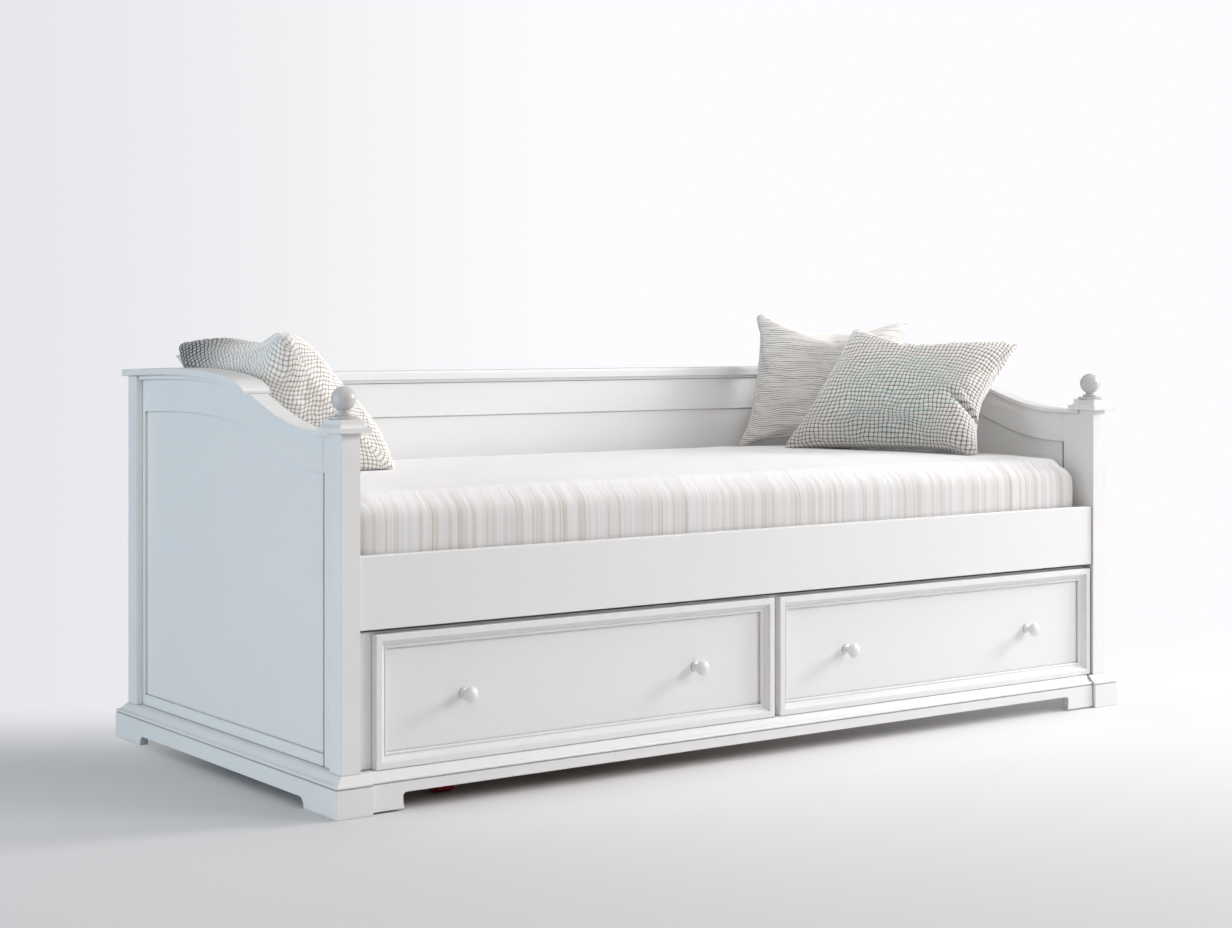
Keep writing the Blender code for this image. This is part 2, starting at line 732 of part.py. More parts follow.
def finial(side_name, side):
    """Ball on a ring and a disc, turned in one piece."""
    disc_top = FINIAL_DISC_HEIGHT
    ring_top = disc_top + FINIAL_RING_HEIGHT
    neck_top = ring_top + FINIAL_NECK_HEIGHT
    rise = math.sqrt(BALL_RADIUS ** 2 - FINIAL_NECK_RADIUS ** 2)
    ball_start = math.degrees(math.atan2(-rise, FINIAL_NECK_RADIUS))
    ball = arc((0.0, neck_top + rise), BALL_RADIUS, 90, ball_start, BALL_STEPS)
    ball[0] = (0.0, ball[0][1])
    ring_middle = disc_top + FINIAL_RING_HEIGHT / 2
    profile = ball + [
        (FINIAL_NECK_RADIUS, ring_top),
        (FINIAL_RING_RADIUS - BOARD_EDGE, ring_top),
        (FINIAL_RING_RADIUS, ring_middle),
        (FINIAL_RING_RADIUS - BOARD_EDGE, disc_top),
        (FINIAL_DISC_RADIUS - WOOD_EDGE, disc_top),
        (FINIAL_DISC_RADIUS, disc_top - WOOD_EDGE),
        (FINIAL_DISC_RADIUS, 0.0),
        (0.0, 0.0),
    ]
    centre = (side * (post_inner_x + post_outer_x) / 2,
              (post_front + front_post_inside) / 2 + FINIAL_SETBACK,
              POST_TOP + POST_CAP_HEIGHT + SEAT_GAP)
    return turned(side_name + "_finial", profile, FINIAL_SIDES, Matrix.Translation(centre),
                  "white_paint")


# Rails, back and slats

def rail_with_ledger(name, face_y, inside_y, inward):
    """A long rail with the strip that carries the slats fixed along its inner face."""
    length = (-(post_inner_x - SEAT_GAP), post_inner_x - SEAT_GAP)
    rail = board(name, length, (face_y, inside_y), (RAIL_BOTTOM, rail_top))
    ledger = cutter_box(
        name + "_ledger", length,
        (inside_y - inward * RAIL_THICKNESS / 2, inside_y + inward * LEDGER_DEPTH),
        (RAIL_BOTTOM + LEDGER_RISE, ledger_top))
    return combine(rail, ledger, "UNION")


def back_frame():
    """Bottom rail, panel, top rail and moulded cap between the two ends."""
    length = (-(post_inner_x - SEAT_GAP), post_inner_x - SEAT_GAP)
    rail_with_ledger("back_bottom_rail", back_outside, back_inside, -1)
    panel_y = back_inside + BACK_PANEL_SETBACK
    top_rail_low = back_top - BACK_TOP_RAIL_HEIGHT
    box("back_panel", length, (panel_y, panel_y + BACK_PANEL_THICKNESS),
        (rail_top + SEAT_GAP, top_rail_low - SEAT_GAP))
    board("back_top_rail", length, (back_inside, back_outside), (top_rail_low, back_top))
    back_cap(length)


def back_cap(length):
    """Cap along the back: rounded nosing over a small cove, coped under the end caps."""
    front, back = back_inside - BACK_CAP_OVERHANG, back_outside + BACK_CAP_OVERHANG
    low, high = back_top + SEAT_GAP, back_top + BACK_CAP_THICKNESS
    outline = arc((front, low), BACK_CAP_COVE, 0, 90, BEAD_STEPS)
    outline += arc((front + BACK_CAP_NOSING, high - BACK_CAP_NOSING), BACK_CAP_NOSING, 180, 90,
                   BEAD_STEPS)
    mirrored = [(front + back - y, z) for y, z in reversed(outline)]
    cap = extruded_side("back_cap", outline + mirrored, length)
    notch_low = min(crest_height(front), crest_height(back)) - LIPPING_THICKNESS - SEAT_GAP
    for side_name, side in SIDES.items():
        notch = cutter_box(side_name + "_back_cap_notch",
                           side_range(side, end_cap_inner_x - SEAT_GAP, post_outer_x),
                           (front - CUT_OVERRUN, back + CUT_OVERRUN),
                           (notch_low, high + CUT_OVERRUN))
        combine(cap, notch, "DIFFERENCE")


def slats():
    pitch = 2 * post_inner_x / SLAT_COUNT
    for index in range(SLAT_COUNT):
        middle = -post_inner_x + pitch * (index + 0.5)
        board(f"slat_{index + 1:02d}", (middle - SLAT_WIDTH / 2, middle + SLAT_WIDTH / 2),
              (rail_inside + SLAT_END_CLEARANCE, back_inside - SLAT_END_CLEARANCE),
              (slat_bottom, slat_bottom + SLAT_THICKNESS), "slat_wood")


# Drawer

def drawer_plinth():
    """Moulded plinth under the drawer front, a little clear of the floor."""
    end_x = block_inner_x - DRAWER_BLOCK_CLEARANCE
    depth = drawer_board_back - drawer_plinth_front
    plinth = moulding("drawer_plinth", base_section(DRAWER_FLOOR_CLEARANCE, depth),
                      [(end_x, drawer_plinth_front), (-end_x, drawer_plinth_front)], False,
                      Matrix.Identity(4))
    outline = arch_outline(-end_x + DRAWER_LEFT_FOOT, end_x - DRAWER_RIGHT_FOOT,
                           DRAWER_ARCH_HEIGHT, DRAWER_ARCH_RADIUS, DRAWER_FOOT_FLARE)
    arch = flat_curve("drawer_arch_outline", outline)
    arch.data.fill_mode = "BOTH"
    arch.data.extrude = depth + CUT_OVERRUN
    turn = Matrix.Rotation(math.radians(90.0), 4, "X")
    arch.matrix_world = Matrix.Translation((0.0, drawer_plinth_front, 0.0)) @ turn
    cutters.objects.link(arch)
    bpy.context.view_layer.update()
    return combine(plinth, as_mesh(arch, "drawer_arch", "white_paint", cutters), "DIFFERENCE")


def frame_section():
    """Section of the applied frames: distance from the outer edge, and projection."""
    slope_start = FRAME_FLAT_WIDTH + FRAME_QUIRK
    slope_end = slope_start + FRAME_SLOPE_WIDTH
    bead_end = slope_end + FRAME_BEAD_WIDTH
    radius = FRAME_BEAD_WIDTH / 2
    bead_base = FRAME_INNER_PROJECTION - radius
    return ([(0.0, 0.0), (0.0, FRAME_PROJECTION - FRAME_ARRIS), (FRAME_ARRIS, FRAME_PROJECTION),
             (FRAME_FLAT_WIDTH, FRAME_PROJECTION), (slope_start, FRAME_PROJECTION - FRAME_QUIRK)]
            + ogee((slope_start, FRAME_PROJECTION - 2 * FRAME_QUIRK),
                   (slope_end, FRAME_INNER_PROJECTION - FRAME_QUIRK), OGEE_STEPS)
            + arc((slope_end + radius, bead_base), radius, 150, 0, BEAD_STEPS)
            + [(bead_end, 0.0)])


def drawer_frame(name, left):
    """Mitred moulding laid on the drawer front as the border of one false panel."""
    right = left + frame_length
    path = [(left, frame_bottom), (right, frame_bottom), (right, frame_top), (left, frame_top)]
    upright = Matrix.Rotation(math.radians(90.0), 4, "X")
    placing = Matrix.Translation((0.0, drawer_board_front - SEAT_GAP, 0.0)) @ upright
    return moulding(name, frame_section(), path, True, placing)


def knob(index, x_value):
    """Turned knob with its rose, stem and domed head."""
    head_start = ROSE_THICKNESS + STEM_LENGTH
    middle = head_start + KNOB_THICKNESS * KNOB_WIDEST_SHARE
    shoulder_radius, shoulder_drop = KNOB_SHOULDER_SHARES
    neck_radius, neck_drop = STEM_NECK_SHARES
    dome = []
    for step in range(KNOB_STEPS + 1):
        turn = math.radians(90.0) * (1 - step / KNOB_STEPS)
        dome.append((KNOB_RADIUS * math.cos(turn),
                     middle + (head_start + KNOB_THICKNESS - middle) * math.sin(turn)))
    dome[0] = (0.0, dome[0][1])
    profile = dome + [
        (KNOB_RADIUS * shoulder_radius, middle - (middle - head_start) * shoulder_drop),
        (STEM_RADIUS * neck_radius, head_start),
        (STEM_RADIUS, head_start - STEM_LENGTH * neck_drop),
        (STEM_RADIUS * STEM_FOOT_SHARE, ROSE_THICKNESS),
        (ROSE_RADIUS, ROSE_THICKNESS * ROSE_EDGE_SHARE),
        (ROSE_RADIUS, 0.0),
        (0.0, 0.0),
    ]
    outward = Matrix.Rotation(math.radians(90.0), 4, "X")
    seat = Matrix.Translation((x_value, drawer_board_front - SEAT_GAP, KNOB_HEIGHT))
    return turned(f"knob_{index}", profile, KNOB_SIDES, seat @ outward, "white_paint")


def drawer_front():
    """Front board, its two frames and four knobs."""
    board("drawer_front", (-drawer_board_x, drawer_board_x),
          (drawer_board_front, drawer_board_back), (plinth_top + SEAT_GAP, drawer_board_top))
    left = -drawer_board_x + FRAME_LEFT_MARGIN
    right = left + frame_length + FRAME_SPACING
    drawer_frame("drawer_frame_left", left)
    drawer_frame("drawer_frame_right", right)
    places = []
    for start in (left, right):
        places += [start + KNOB_INSET, start + frame_length - KNOB_INSET]
    for index, x_value in enumerate(places, 1):
        knob(index, x_value)


def drawer_box():
    """Plywood box behind the drawer front, with a divider in the middle."""
    bottom_z = (BOX_BOTTOM, box_floor)
    wall_z = (box_floor + SEAT_GAP, box_floor + BOX_WALL_HEIGHT)
    inner_x = box_x - BOX_WALL
    back_y = (box_back - BOX_WALL, box_back)
    inner_y = (box_front, back_y[0] - SEAT_GAP)
    board("drawer_bottom", (-box_x, box_x), (box_front, box_back), bottom_z, "pale_plywood",
          BOARD_EDGE)
    for side_name, side in SIDES.items():
        board("drawer_side_" + side_name, side_range(side, inner_x, box_x), (box_front, box_back),
              wall_z, "pale_plywood", BOARD_EDGE)
    board("drawer_back", (-inner_x + SEAT_GAP, inner_x - SEAT_GAP), back_y, wall_z, "pale_plywood",
          BOARD_EDGE)
    board("drawer_divider", (-BOX_WALL / 2, BOX_WALL / 2), inner_y, wall_z, "pale_plywood",
          BOARD_EDGE)


def wheel(index, x_value, y_value):
    """Wheel with rounded shoulders and a bore, its origin on its own axle."""
    half = WHEEL_WIDTH / 2
    bore = AXLE_RADIUS + AXLE_CLEARANCE
    side_radius = WHEEL_RADIUS - WHEEL_SHOULDER
    profile = [(bore, half), (side_radius, half)]
    profile += arc((side_radius, half - WHEEL_SHOULDER), WHEEL_SHOULDER, WHEEL_SHOULDER_ARC, 0,
                   WHEEL_SHOULDER_STEPS)
    profile += arc((side_radius, -half + WHEEL_SHOULDER), WHEEL_SHOULDER, 0, -WHEEL_SHOULDER_ARC,
                   WHEEL_SHOULDER_STEPS)
    profile += [(side_radius, -half), (bore, -half), (bore, half)]
    sideways = Matrix.Rotation(math.radians(90.0), 4, "Y")
    placing = Matrix.Translation((x_value, y_value, WHEEL_RADIUS)) @ sideways
    return turned(f"caster_{index}_wheel", profile, WHEEL_SIDES, placing, "red_tread")


def fork(index, x_value, y_value):
    """Steel plate and two cheeks that hold the axle of a wheel."""
    name = f"caster_{index}_fork"
    inner = WHEEL_WIDTH / 2 + FORK_SIDE_CLEARANCE
    outer = inner + FORK_THICKNESS
    plate_top = BOX_BOTTOM - SEAT_GAP
    plate = box(name, (x_value - outer, x_value + outer),
                (y_value - FORK_PLATE_LENGTH / 2, y_value + FORK_PLATE_LENGTH / 2),
                (plate_top - FORK_THICKNESS, plate_top), "steel")
    for side in SIDES.values():
        cheek = cutter_box(f"{name}_cheek_{side}", (x_value + side * inner, x_value + side * outer),
                           (y_value - FORK_CHEEK_LENGTH / 2, y_value + FORK_CHEEK_LENGTH / 2),
                           (WHEEL_RADIUS - FORK_CHEEK_DROP, plate_top - FORK_THICKNESS / 2))
        combine(plate, cheek, "UNION")
    half_axle = outer - FORK_THICKNESS / 2
    profile = [(0.0, half_axle), (AXLE_RADIUS, half_axle), (AXLE_RADIUS, -half_axle),
               (0.0, -half_axle)]
    sideways = Matrix.Rotation(math.radians(90.0), 4, "Y")
    axle = turned(name + "_axle", profile, WHEEL_SIDES // 2,
                  Matrix.Translation((x_value, y_value, WHEEL_RADIUS)) @ sideways, "steel", cutters)
    return combine(plate, axle, "UNION")


def casters():
    front, back = box_front + WHEEL_INSET_Y, box_back - WHEEL_INSET_Y
    left, right = -box_x + WHEEL_INSET_X, box_x - WHEEL_INSET_X
    places = [(left, front), (right, front + RIGHT_WHEEL_SETBACK), (left, back), (right, back)]
    for index, (x_value, y_value) in enumerate(places, 1):
        fork(index, x_value, y_value)
        wheel(index, x_value, y_value)


# Soft pieces

def loop_place(share, half, margin):
    """Place the outer loops of a cage near its ends and the others evenly."""
    if abs(share) > OUTER_LOOP_SHARE:
        return math.copysign(half, share)
    if abs(share) > MIDDLE_LOOP_SHARE:
        return math.copysign(half - margin, share)
    return share * half


def mattress_solid(name, grow, collection=None):
    """Mattress with a crowned top and drawn-in upper edges, from a subdivided cage."""
    solid = bmesh.new()
    bmesh.ops.create_cube(solid, size=2.0)
    bmesh.ops.subdivide_edges(solid, edges=solid.edges[:], cuts=MATTRESS_CUTS,
                              use_grid_fill=True)
    half = Vector((MATTRESS_LENGTH / 2, MATTRESS_WIDTH / 2, MATTRESS_THICKNESS / 2))
    half += Vector((grow, grow, grow))
    middle_y = (mattress_front + mattress_back) / 2
    for vertex in solid.verts:
        along, across, up = vertex.co
        draw_in = MATTRESS_TOP_DRAW_IN * max(0.0, up) ** 4
        crown = MATTRESS_CROWN * (1 - along ** 4) * (1 - across ** 4) * max(0.0, up)
        vertex.co.x = loop_place(along, half.x - draw_in, MATTRESS_CORNER)
        vertex.co.y = middle_y + loop_place(across, half.y - draw_in, MATTRESS_CORNER)
        level = loop_place(up, half.z, MATTRESS_TOP_EDGE if up > 0 else MATTRESS_CORNER)
        vertex.co.z = mattress_bottom - grow + half.z + level + crown
    piece = from_bmesh(name, solid, "mattress_cloth", collection)
    return subdivided(piece)


def subdivided(piece):
    surface = piece.modifiers.new("soft_surface", "SUBSURF")
    surface.levels = 1
    surface.render_levels = 1
    piece.data.shade_smooth()
    return piece


def pillow_point(corners, draw_in, right, up):
    """A point of a pillow's middle sheet, its sides drawn in between the corners."""
    right_in = right * (1 - draw_in * (1 - up * up) * abs(right))
    up_in = up * (1 - draw_in * (1 - right * right) * abs(up))
    low = corners[0].lerp(corners[1], (1 + right_in) / 2)
    high = corners[3].lerp(corners[2], (1 + right_in) / 2)
    return low.lerp(high, (1 + up_in) / 2)


def pillow_corners(name, grow):
    """Cage corners, a little outside the places that the finished pillow's corners reach."""
    places = []
    for along, across, above in PILLOW_CORNER_SHARES[name]:
        places.append(Vector((
            -MATTRESS_LENGTH / 2 + along * MATTRESS_LENGTH,
            mattress_front + across * MATTRESS_WIDTH,
            mattress_crown_top + above * PILLOW_SIZE)))
    middle = sum(places, Vector()) / len(places)
    cage_share = PILLOW_CELLS / (PILLOW_CELLS - 1) + RIM_GROWTH * grow / PILLOW_SIZE
    return [middle.lerp(place, cage_share) for place in places]


def pillow_solid(name, grow=0.0, collection=None):
    """Pillow of two crowned sheets that meet in a seam all round."""
    corners = pillow_corners(name, grow)
    facing = (corners[2] - corners[0]).cross(corners[3] - corners[1]).normalized()
    solid = bmesh.new()
    bmesh.ops.create_grid(solid, x_segments=PILLOW_CELLS, y_segments=PILLOW_CELLS, size=1.0)
    back_sheet = bmesh.ops.duplicate(solid, geom=solid.verts[:] + solid.edges[:] + solid.faces[:])
    back_verts = {item for item in back_sheet["geom"] if isinstance(item, bmesh.types.BMVert)}
    for vertex in solid.verts:
        right, up = vertex.co.x, vertex.co.y
        fullness = math.sqrt(max(0.0, (1 - right ** 4) * (1 - up ** 4)))
        swell = (PILLOW_THICKNESSES[name] / 2) * fullness
        direction = -1 if vertex in back_verts else 1
        middle = pillow_point(corners, PILLOW_DRAW_IN_SHARES[name], right, up)
        vertex.co = middle + facing * direction * (swell + grow * fullness)
    bmesh.ops.remove_doubles(solid, verts=solid.verts[:], dist=WELD_DISTANCE)
    face_outwards(solid)
    finish = name.split("_")[1] + "_cloth"
    piece = from_bmesh(name + "_space" if grow else name, solid, finish, collection)
    return subdivided(piece)


def soft_pieces():
    """Mattress, and pillows that rest on it, against the ends and back and on each other."""
    mattress_solid("mattress", 0.0)
    mattress_space = mattress_solid("mattress_space", SOFT_GAP, cutters)
    back_space = cutter_box("back_space", (-base_x, base_x), (back_inside - SOFT_GAP, base_back),
                            (rail_top, CREST_PEAK))
    end_spaces = {side_name: end_space(side_name, side) for side_name, side in SIDES.items()}
    for name in PILLOW_CORNER_SHARES:
        pillow = pillow_solid(name)
        for space in end_spaces[name.split("_")[-1]]:
            combine(pillow, space, "DIFFERENCE")
        combine(pillow, back_space, "DIFFERENCE")
        if name in FRONT_PILLOWS:
            neighbour = pillow_solid(FRONT_PILLOWS[name], PILLOW_GAP, cutters)
            combine(pillow, neighbour, "DIFFERENCE")
        combine(pillow, mattress_space, "DIFFERENCE")


def end_space(side_name, side):
    """Room taken by one end: the end itself, and its cap, which stands out from it."""
    frame = cutter_box(side_name + "_end_space", side_range(side, post_inner_x - SOFT_GAP, base_x),
                       (base_front, base_back), (rail_top, CREST_PEAK + END_CAP_THICKNESS))
    outline = band_outline(end_cap_start, base_back, -SOFT_GAP, END_CAP_THICKNESS + SOFT_GAP)
    cap = extruded_side(side_name + "_cap_space", outline,
                        side_range(side, end_cap_inner_x - SOFT_GAP, base_x), collection=cutters)
    return frame, cap


def main():
    for side_name, side in SIDES.items():
        end_plinth(side_name, side)
        front_post(side_name, side)
        back_post(side_name, side)
        end_top_rail(side_name, side)
        end_bottom_rail(side_name, side)
        end_panel(side_name, side)
        end_cap(side_name, side)
        post_cap(side_name, side)
        finial(side_name, side)
    rail_with_ledger("front_rail", rail_front, rail_inside, 1)
    back_frame()
    slats()
    drawer_plinth()
    drawer_front()
    drawer_box()
    casters()
    soft_pieces()


main()
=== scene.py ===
"""Looks of a storage daybed: paint, metal, mattress and pillows around its fixed frame.

Metres, +Z up, +X along the bed, the front towards -Y, the same as the frame.
"""

import math

import bmesh
import bpy
import numpy as np
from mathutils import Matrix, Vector
from mathutils.bvhtree import BVHTree


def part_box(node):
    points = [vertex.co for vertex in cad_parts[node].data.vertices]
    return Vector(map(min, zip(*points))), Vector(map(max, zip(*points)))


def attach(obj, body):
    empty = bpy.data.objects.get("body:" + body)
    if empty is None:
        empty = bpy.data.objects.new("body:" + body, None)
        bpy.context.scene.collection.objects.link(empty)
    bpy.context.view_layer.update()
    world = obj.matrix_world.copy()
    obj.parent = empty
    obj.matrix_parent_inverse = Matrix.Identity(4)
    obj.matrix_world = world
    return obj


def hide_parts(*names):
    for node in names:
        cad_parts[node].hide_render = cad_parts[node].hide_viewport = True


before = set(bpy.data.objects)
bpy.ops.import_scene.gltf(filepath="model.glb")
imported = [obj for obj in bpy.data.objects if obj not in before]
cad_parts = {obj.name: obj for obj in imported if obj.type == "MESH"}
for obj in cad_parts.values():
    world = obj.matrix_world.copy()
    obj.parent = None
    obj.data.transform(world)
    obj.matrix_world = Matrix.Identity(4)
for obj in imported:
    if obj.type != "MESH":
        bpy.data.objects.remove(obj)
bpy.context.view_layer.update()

bl_info = {
    "name": "Storage daybed",
    "version": (1, 0, 0),
    "blender": (4, 5, 0),
    "location": "View3D > Sidebar > Daybed",
    "description": "Finishes, mattress and pillows of a storage daybed",
    "category": "Object",
}

# The photograph's frame, in its own pixels
IMAGE_WIDTH = 1232
IMAGE_HEIGHT = 928
FOCAL_PIXELS = 2151
HORIZON_ROW = 332

# Clearance between a soft piece and what it touches
CONTACT_GAP = 0.0006
# How far the search for a neighbour's surface goes, and how far a point may move behind one
SEARCH_REACH = 0.06
MOST_SHIFT = 0.05
# How far off a sheet the rays to its surface start
RAY_REACH = 0.25
# Smallest length that anything is divided by
TINY = 1e-9

AXES = "xyz"


# Settings

def colour_setting(label, description, default):
    return bpy.props.FloatVectorProperty(
        name=label, description=description, subtype="COLOR", min=0.0, max=1.0, default=default)


def length_setting(label, description, default):
    return bpy.props.FloatProperty(
        name=label, description=description, unit="LENGTH", subtype="DISTANCE", min=0.0,
        default=default)


def share_setting(label, description, default):
    return bpy.props.FloatProperty(
        name=label, description=description, subtype="FACTOR", min=0.0, max=1.0, default=default)


class PaintSettings(bpy.types.PropertyGroup):
    """Satin lacquer on the wood."""

    colour: colour_setting("Colour", "Colour of the lacquer", (0.80, 0.80, 0.80))
    # Painted shade: the finials' lacquer is darker than the rest of the white paint
    shaded_turned_colour: colour_setting("Finials", "Lacquer of the finials", (0.58, 0.575, 0.575))
    knob_colour: colour_setting("Knobs", "Lacquer of the knobs", (0.78, 0.78, 0.785))
    # Painted shade: the lacquer darkens in seams, corners and gaps, where shade falls
    crease_shade_colour: colour_setting("Creases", "Colour of the lacquer in seams and corners",
                                  (0.52, 0.51, 0.50))
    gap_shade_colour: colour_setting("Gaps", "Colour deep in the gaps between boards",
                               (0.05, 0.048, 0.046))
    roughness: share_setting("Roughness", "Mean roughness of the lacquer", 0.38)
    crease_shade_reach: length_setting("Crease reach", "How far a crease darkens the lacquer", 0.006)
    edge_radius: length_setting("Edge radius", "Rounding of edges by the lacquer", 0.0012)


class WoodSettings(bpy.types.PropertyGroup):
    """Bare wood of the slats and the drawer box."""

    slat_colour: colour_setting("Slats", "Light wood of the slats", (0.62, 0.47, 0.30))
    slat_grain: colour_setting("Slat grain", "Dark grain of the slats", (0.42, 0.28, 0.15))
    box_colour: colour_setting("Drawer box", "Light wood of the drawer box", (0.66, 0.55, 0.40))
    box_grain: colour_setting("Box grain", "Dark grain of the drawer box", (0.50, 0.38, 0.24))


class HardwareSettings(bpy.types.PropertyGroup):
    """Wheels and forks."""

    steel_colour: colour_setting("Steel", "Zinc-plated steel of the forks", (0.50, 0.51, 0.52))
    tread_colour: colour_setting("Tread", "Plastic of the wheels", (0.33, 0.012, 0.010))
    scuff_colour: colour_setting("Scuffs", "Scuffed plastic of the wheels", (0.42, 0.10, 0.08))
    # Painted shade in the wheels' corners
    tread_crease_shade: colour_setting("Tread creases", "Plastic in the wheels' corners",
                                 (0.10, 0.006, 0.006))


class MattressSettings(bpy.types.PropertyGroup):
    """Mattress in its striped cover."""

    # Painted light: the top is painted whiter than the sides, and the print fades on it
    lit_top_colour: colour_setting("Top", "White top of the cover", (0.90, 0.89, 0.90))
    side_colour: colour_setting("Sides", "Ground between the stripes", (0.745, 0.745, 0.75))
    stripe_colour: colour_setting("Stripe", "Broad stripes of the cover", (0.60, 0.575, 0.54))
    line_colour: colour_setting("Line", "Thin lines of the cover", (0.47, 0.425, 0.365))
    print_strength: share_setting("Print", "Strength of the stripes and lines", 0.82)
    stripe_pitch: length_setting("Stripe pitch", "Mean distance between broad stripes", 0.022)
    line_pitch: length_setting("Line pitch", "Mean distance between thin lines", 0.0072)
    cell: length_setting("Cell", "Size of a face of the mattress mesh", 0.010)
    crown: length_setting("Crown", "How far the middle of the top stands up", 0.015)
    top_edge: length_setting("Upper edge", "Depth of the rounding of the upper edge", 0.052)
    bottom_edge: length_setting("Lower edge", "Depth of the rounding of the lower edge", 0.022)
    side_edge: length_setting("Side edge", "Width of the rounding, seen from above", 0.042)
    draw_in: length_setting("Draw-in", "How far the upper edge is drawn in", 0.013)
    bulge: length_setting("Bulge", "How far the sides stand out in the middle", 0.003)
    unevenness: length_setting("Unevenness", "Depth of the cover's soft dents", 0.003)


class PillowSettings(bpy.types.PropertyGroup):
    """Cloths of the four pillows."""

    side: length_setting("Side", "Length of a pillow's side", 0.48)
    net_cell: length_setting("Puff", "Size of one puff of the netted cloth", 0.0104)
    fine_cell: length_setting("Fine puff", "Size of one puff of the left netted pillow", 0.0086)
    puff_height: length_setting("Puff height", "Height of one puff", 0.0032)
    puff_colour: colour_setting("Puff colour", "Cloth of the puffs", (0.88, 0.885, 0.875))
    puff_tint: colour_setting("Puff tint", "Tint of some puffs in the middle of a pillow",
                              (0.66, 0.79, 0.775))
    # Painted shade at the dark tip of the left pillow
    puff_shade: colour_setting("Puff shade", "Puffs at the dark tip of the left pillow",
                               (0.35, 0.355, 0.355))
    # Painted shade in the valleys beside the thread
    valley_shade: colour_setting("Valleys", "How much darker the cloth is beside the thread",
                                 (0.70, 0.65, 0.60))
    net_colour: colour_setting("Net", "Thread of the right pillow's net", (0.21, 0.125, 0.075))
    light_net: colour_setting("Light net", "Thread of the left pillow's net",
                              (0.34, 0.27, 0.20))
    net_shade: colour_setting("Net shade", "Thread at the dark tip of the left pillow",
                              (0.006, 0.006, 0.006))
    net_break: share_setting("Sunken thread", "How much of a thread shows between crossings", 0.50)
    plain_cell: length_setting("Plain cell", "Size of a piece of the plain cloth", 0.015)
    ripple_length: length_setting("Ripple length", "Size of a piece of a ripple", 0.016)
    ripple_pitch: length_setting("Ripple", "Distance between ripples of the crinkled cloth",
                                 0.0055)
    ripple_height: length_setting("Ripple height", "Height of one ripple", 0.0013)
    ribbed_colour: colour_setting("Crinkled cloth", "Ground of the crinkled cloth",
                                  (0.895, 0.875, 0.85))
    ribbed_line: colour_setting("Crinkle lines", "Fine lines of the crinkled cloth",
                                (0.30, 0.27, 0.235))
    plain_colour: colour_setting("Plain cloth", "Cloth of the plain pillow", (0.80, 0.80, 0.80))
    simulation_cell: length_setting("Cloth cell", "Face size while the cloth is simulated", 0.011)


class StageSettings(bpy.types.PropertyGroup):
    """The floor, the lamps and the camera."""

    camera_place: bpy.props.FloatVectorProperty(
        name="Camera", description="Where the camera stands", subtype="TRANSLATION",
        unit="LENGTH", default=(-2.980, -4.066, 0.909))
    camera_turn: bpy.props.FloatProperty(
        name="Camera turn", description="How far the camera looks to the right of +Y",
        subtype="ANGLE", unit="ROTATION", default=math.radians(35.69))
    sensor_width: bpy.props.FloatProperty(
        name="Sensor", description="Width of the camera's sensor in millimetres", default=36.0)
    floor_colour: colour_setting("Floor", "Colour of the floor", (0.672, 0.664, 0.664))
    # Painted light: the floor is painted paler at the right, where the light is stronger
    floor_light_lift: share_setting("Floor lift", "How much paler the floor gets at the right", 0.14)
    backdrop_left: colour_setting("Backdrop left", "Backdrop at the left of the view",
                                  (0.795, 0.803, 0.826))
    backdrop_right: colour_setting("Backdrop right", "Backdrop in the middle and at the right",
                                   (0.985, 0.972, 1.0))
    fade_start: length_setting("Fade start", "Distance where the floor starts to fade", 4.4)
    fade_end: length_setting("Fade end", "Distance where the floor has faded", 6.9)
    fade_end_left: length_setting("Fade end left", "The same at the left of the bed", 5.25)
    far_start: length_setting("Far start", "Distance from the bed where the floor fades too", 2.4)
    far_end: length_setting("Far end", "Distance from the bed where the floor is gone", 4.6)
    sky_colour: colour_setting("Sky", "Colour of the light from all round", (1.0, 1.0, 1.0))
    sky_strength: bpy.props.FloatProperty(
        name="Sky strength", description="Strength of the light from all round", default=0.2)


# Node wiring

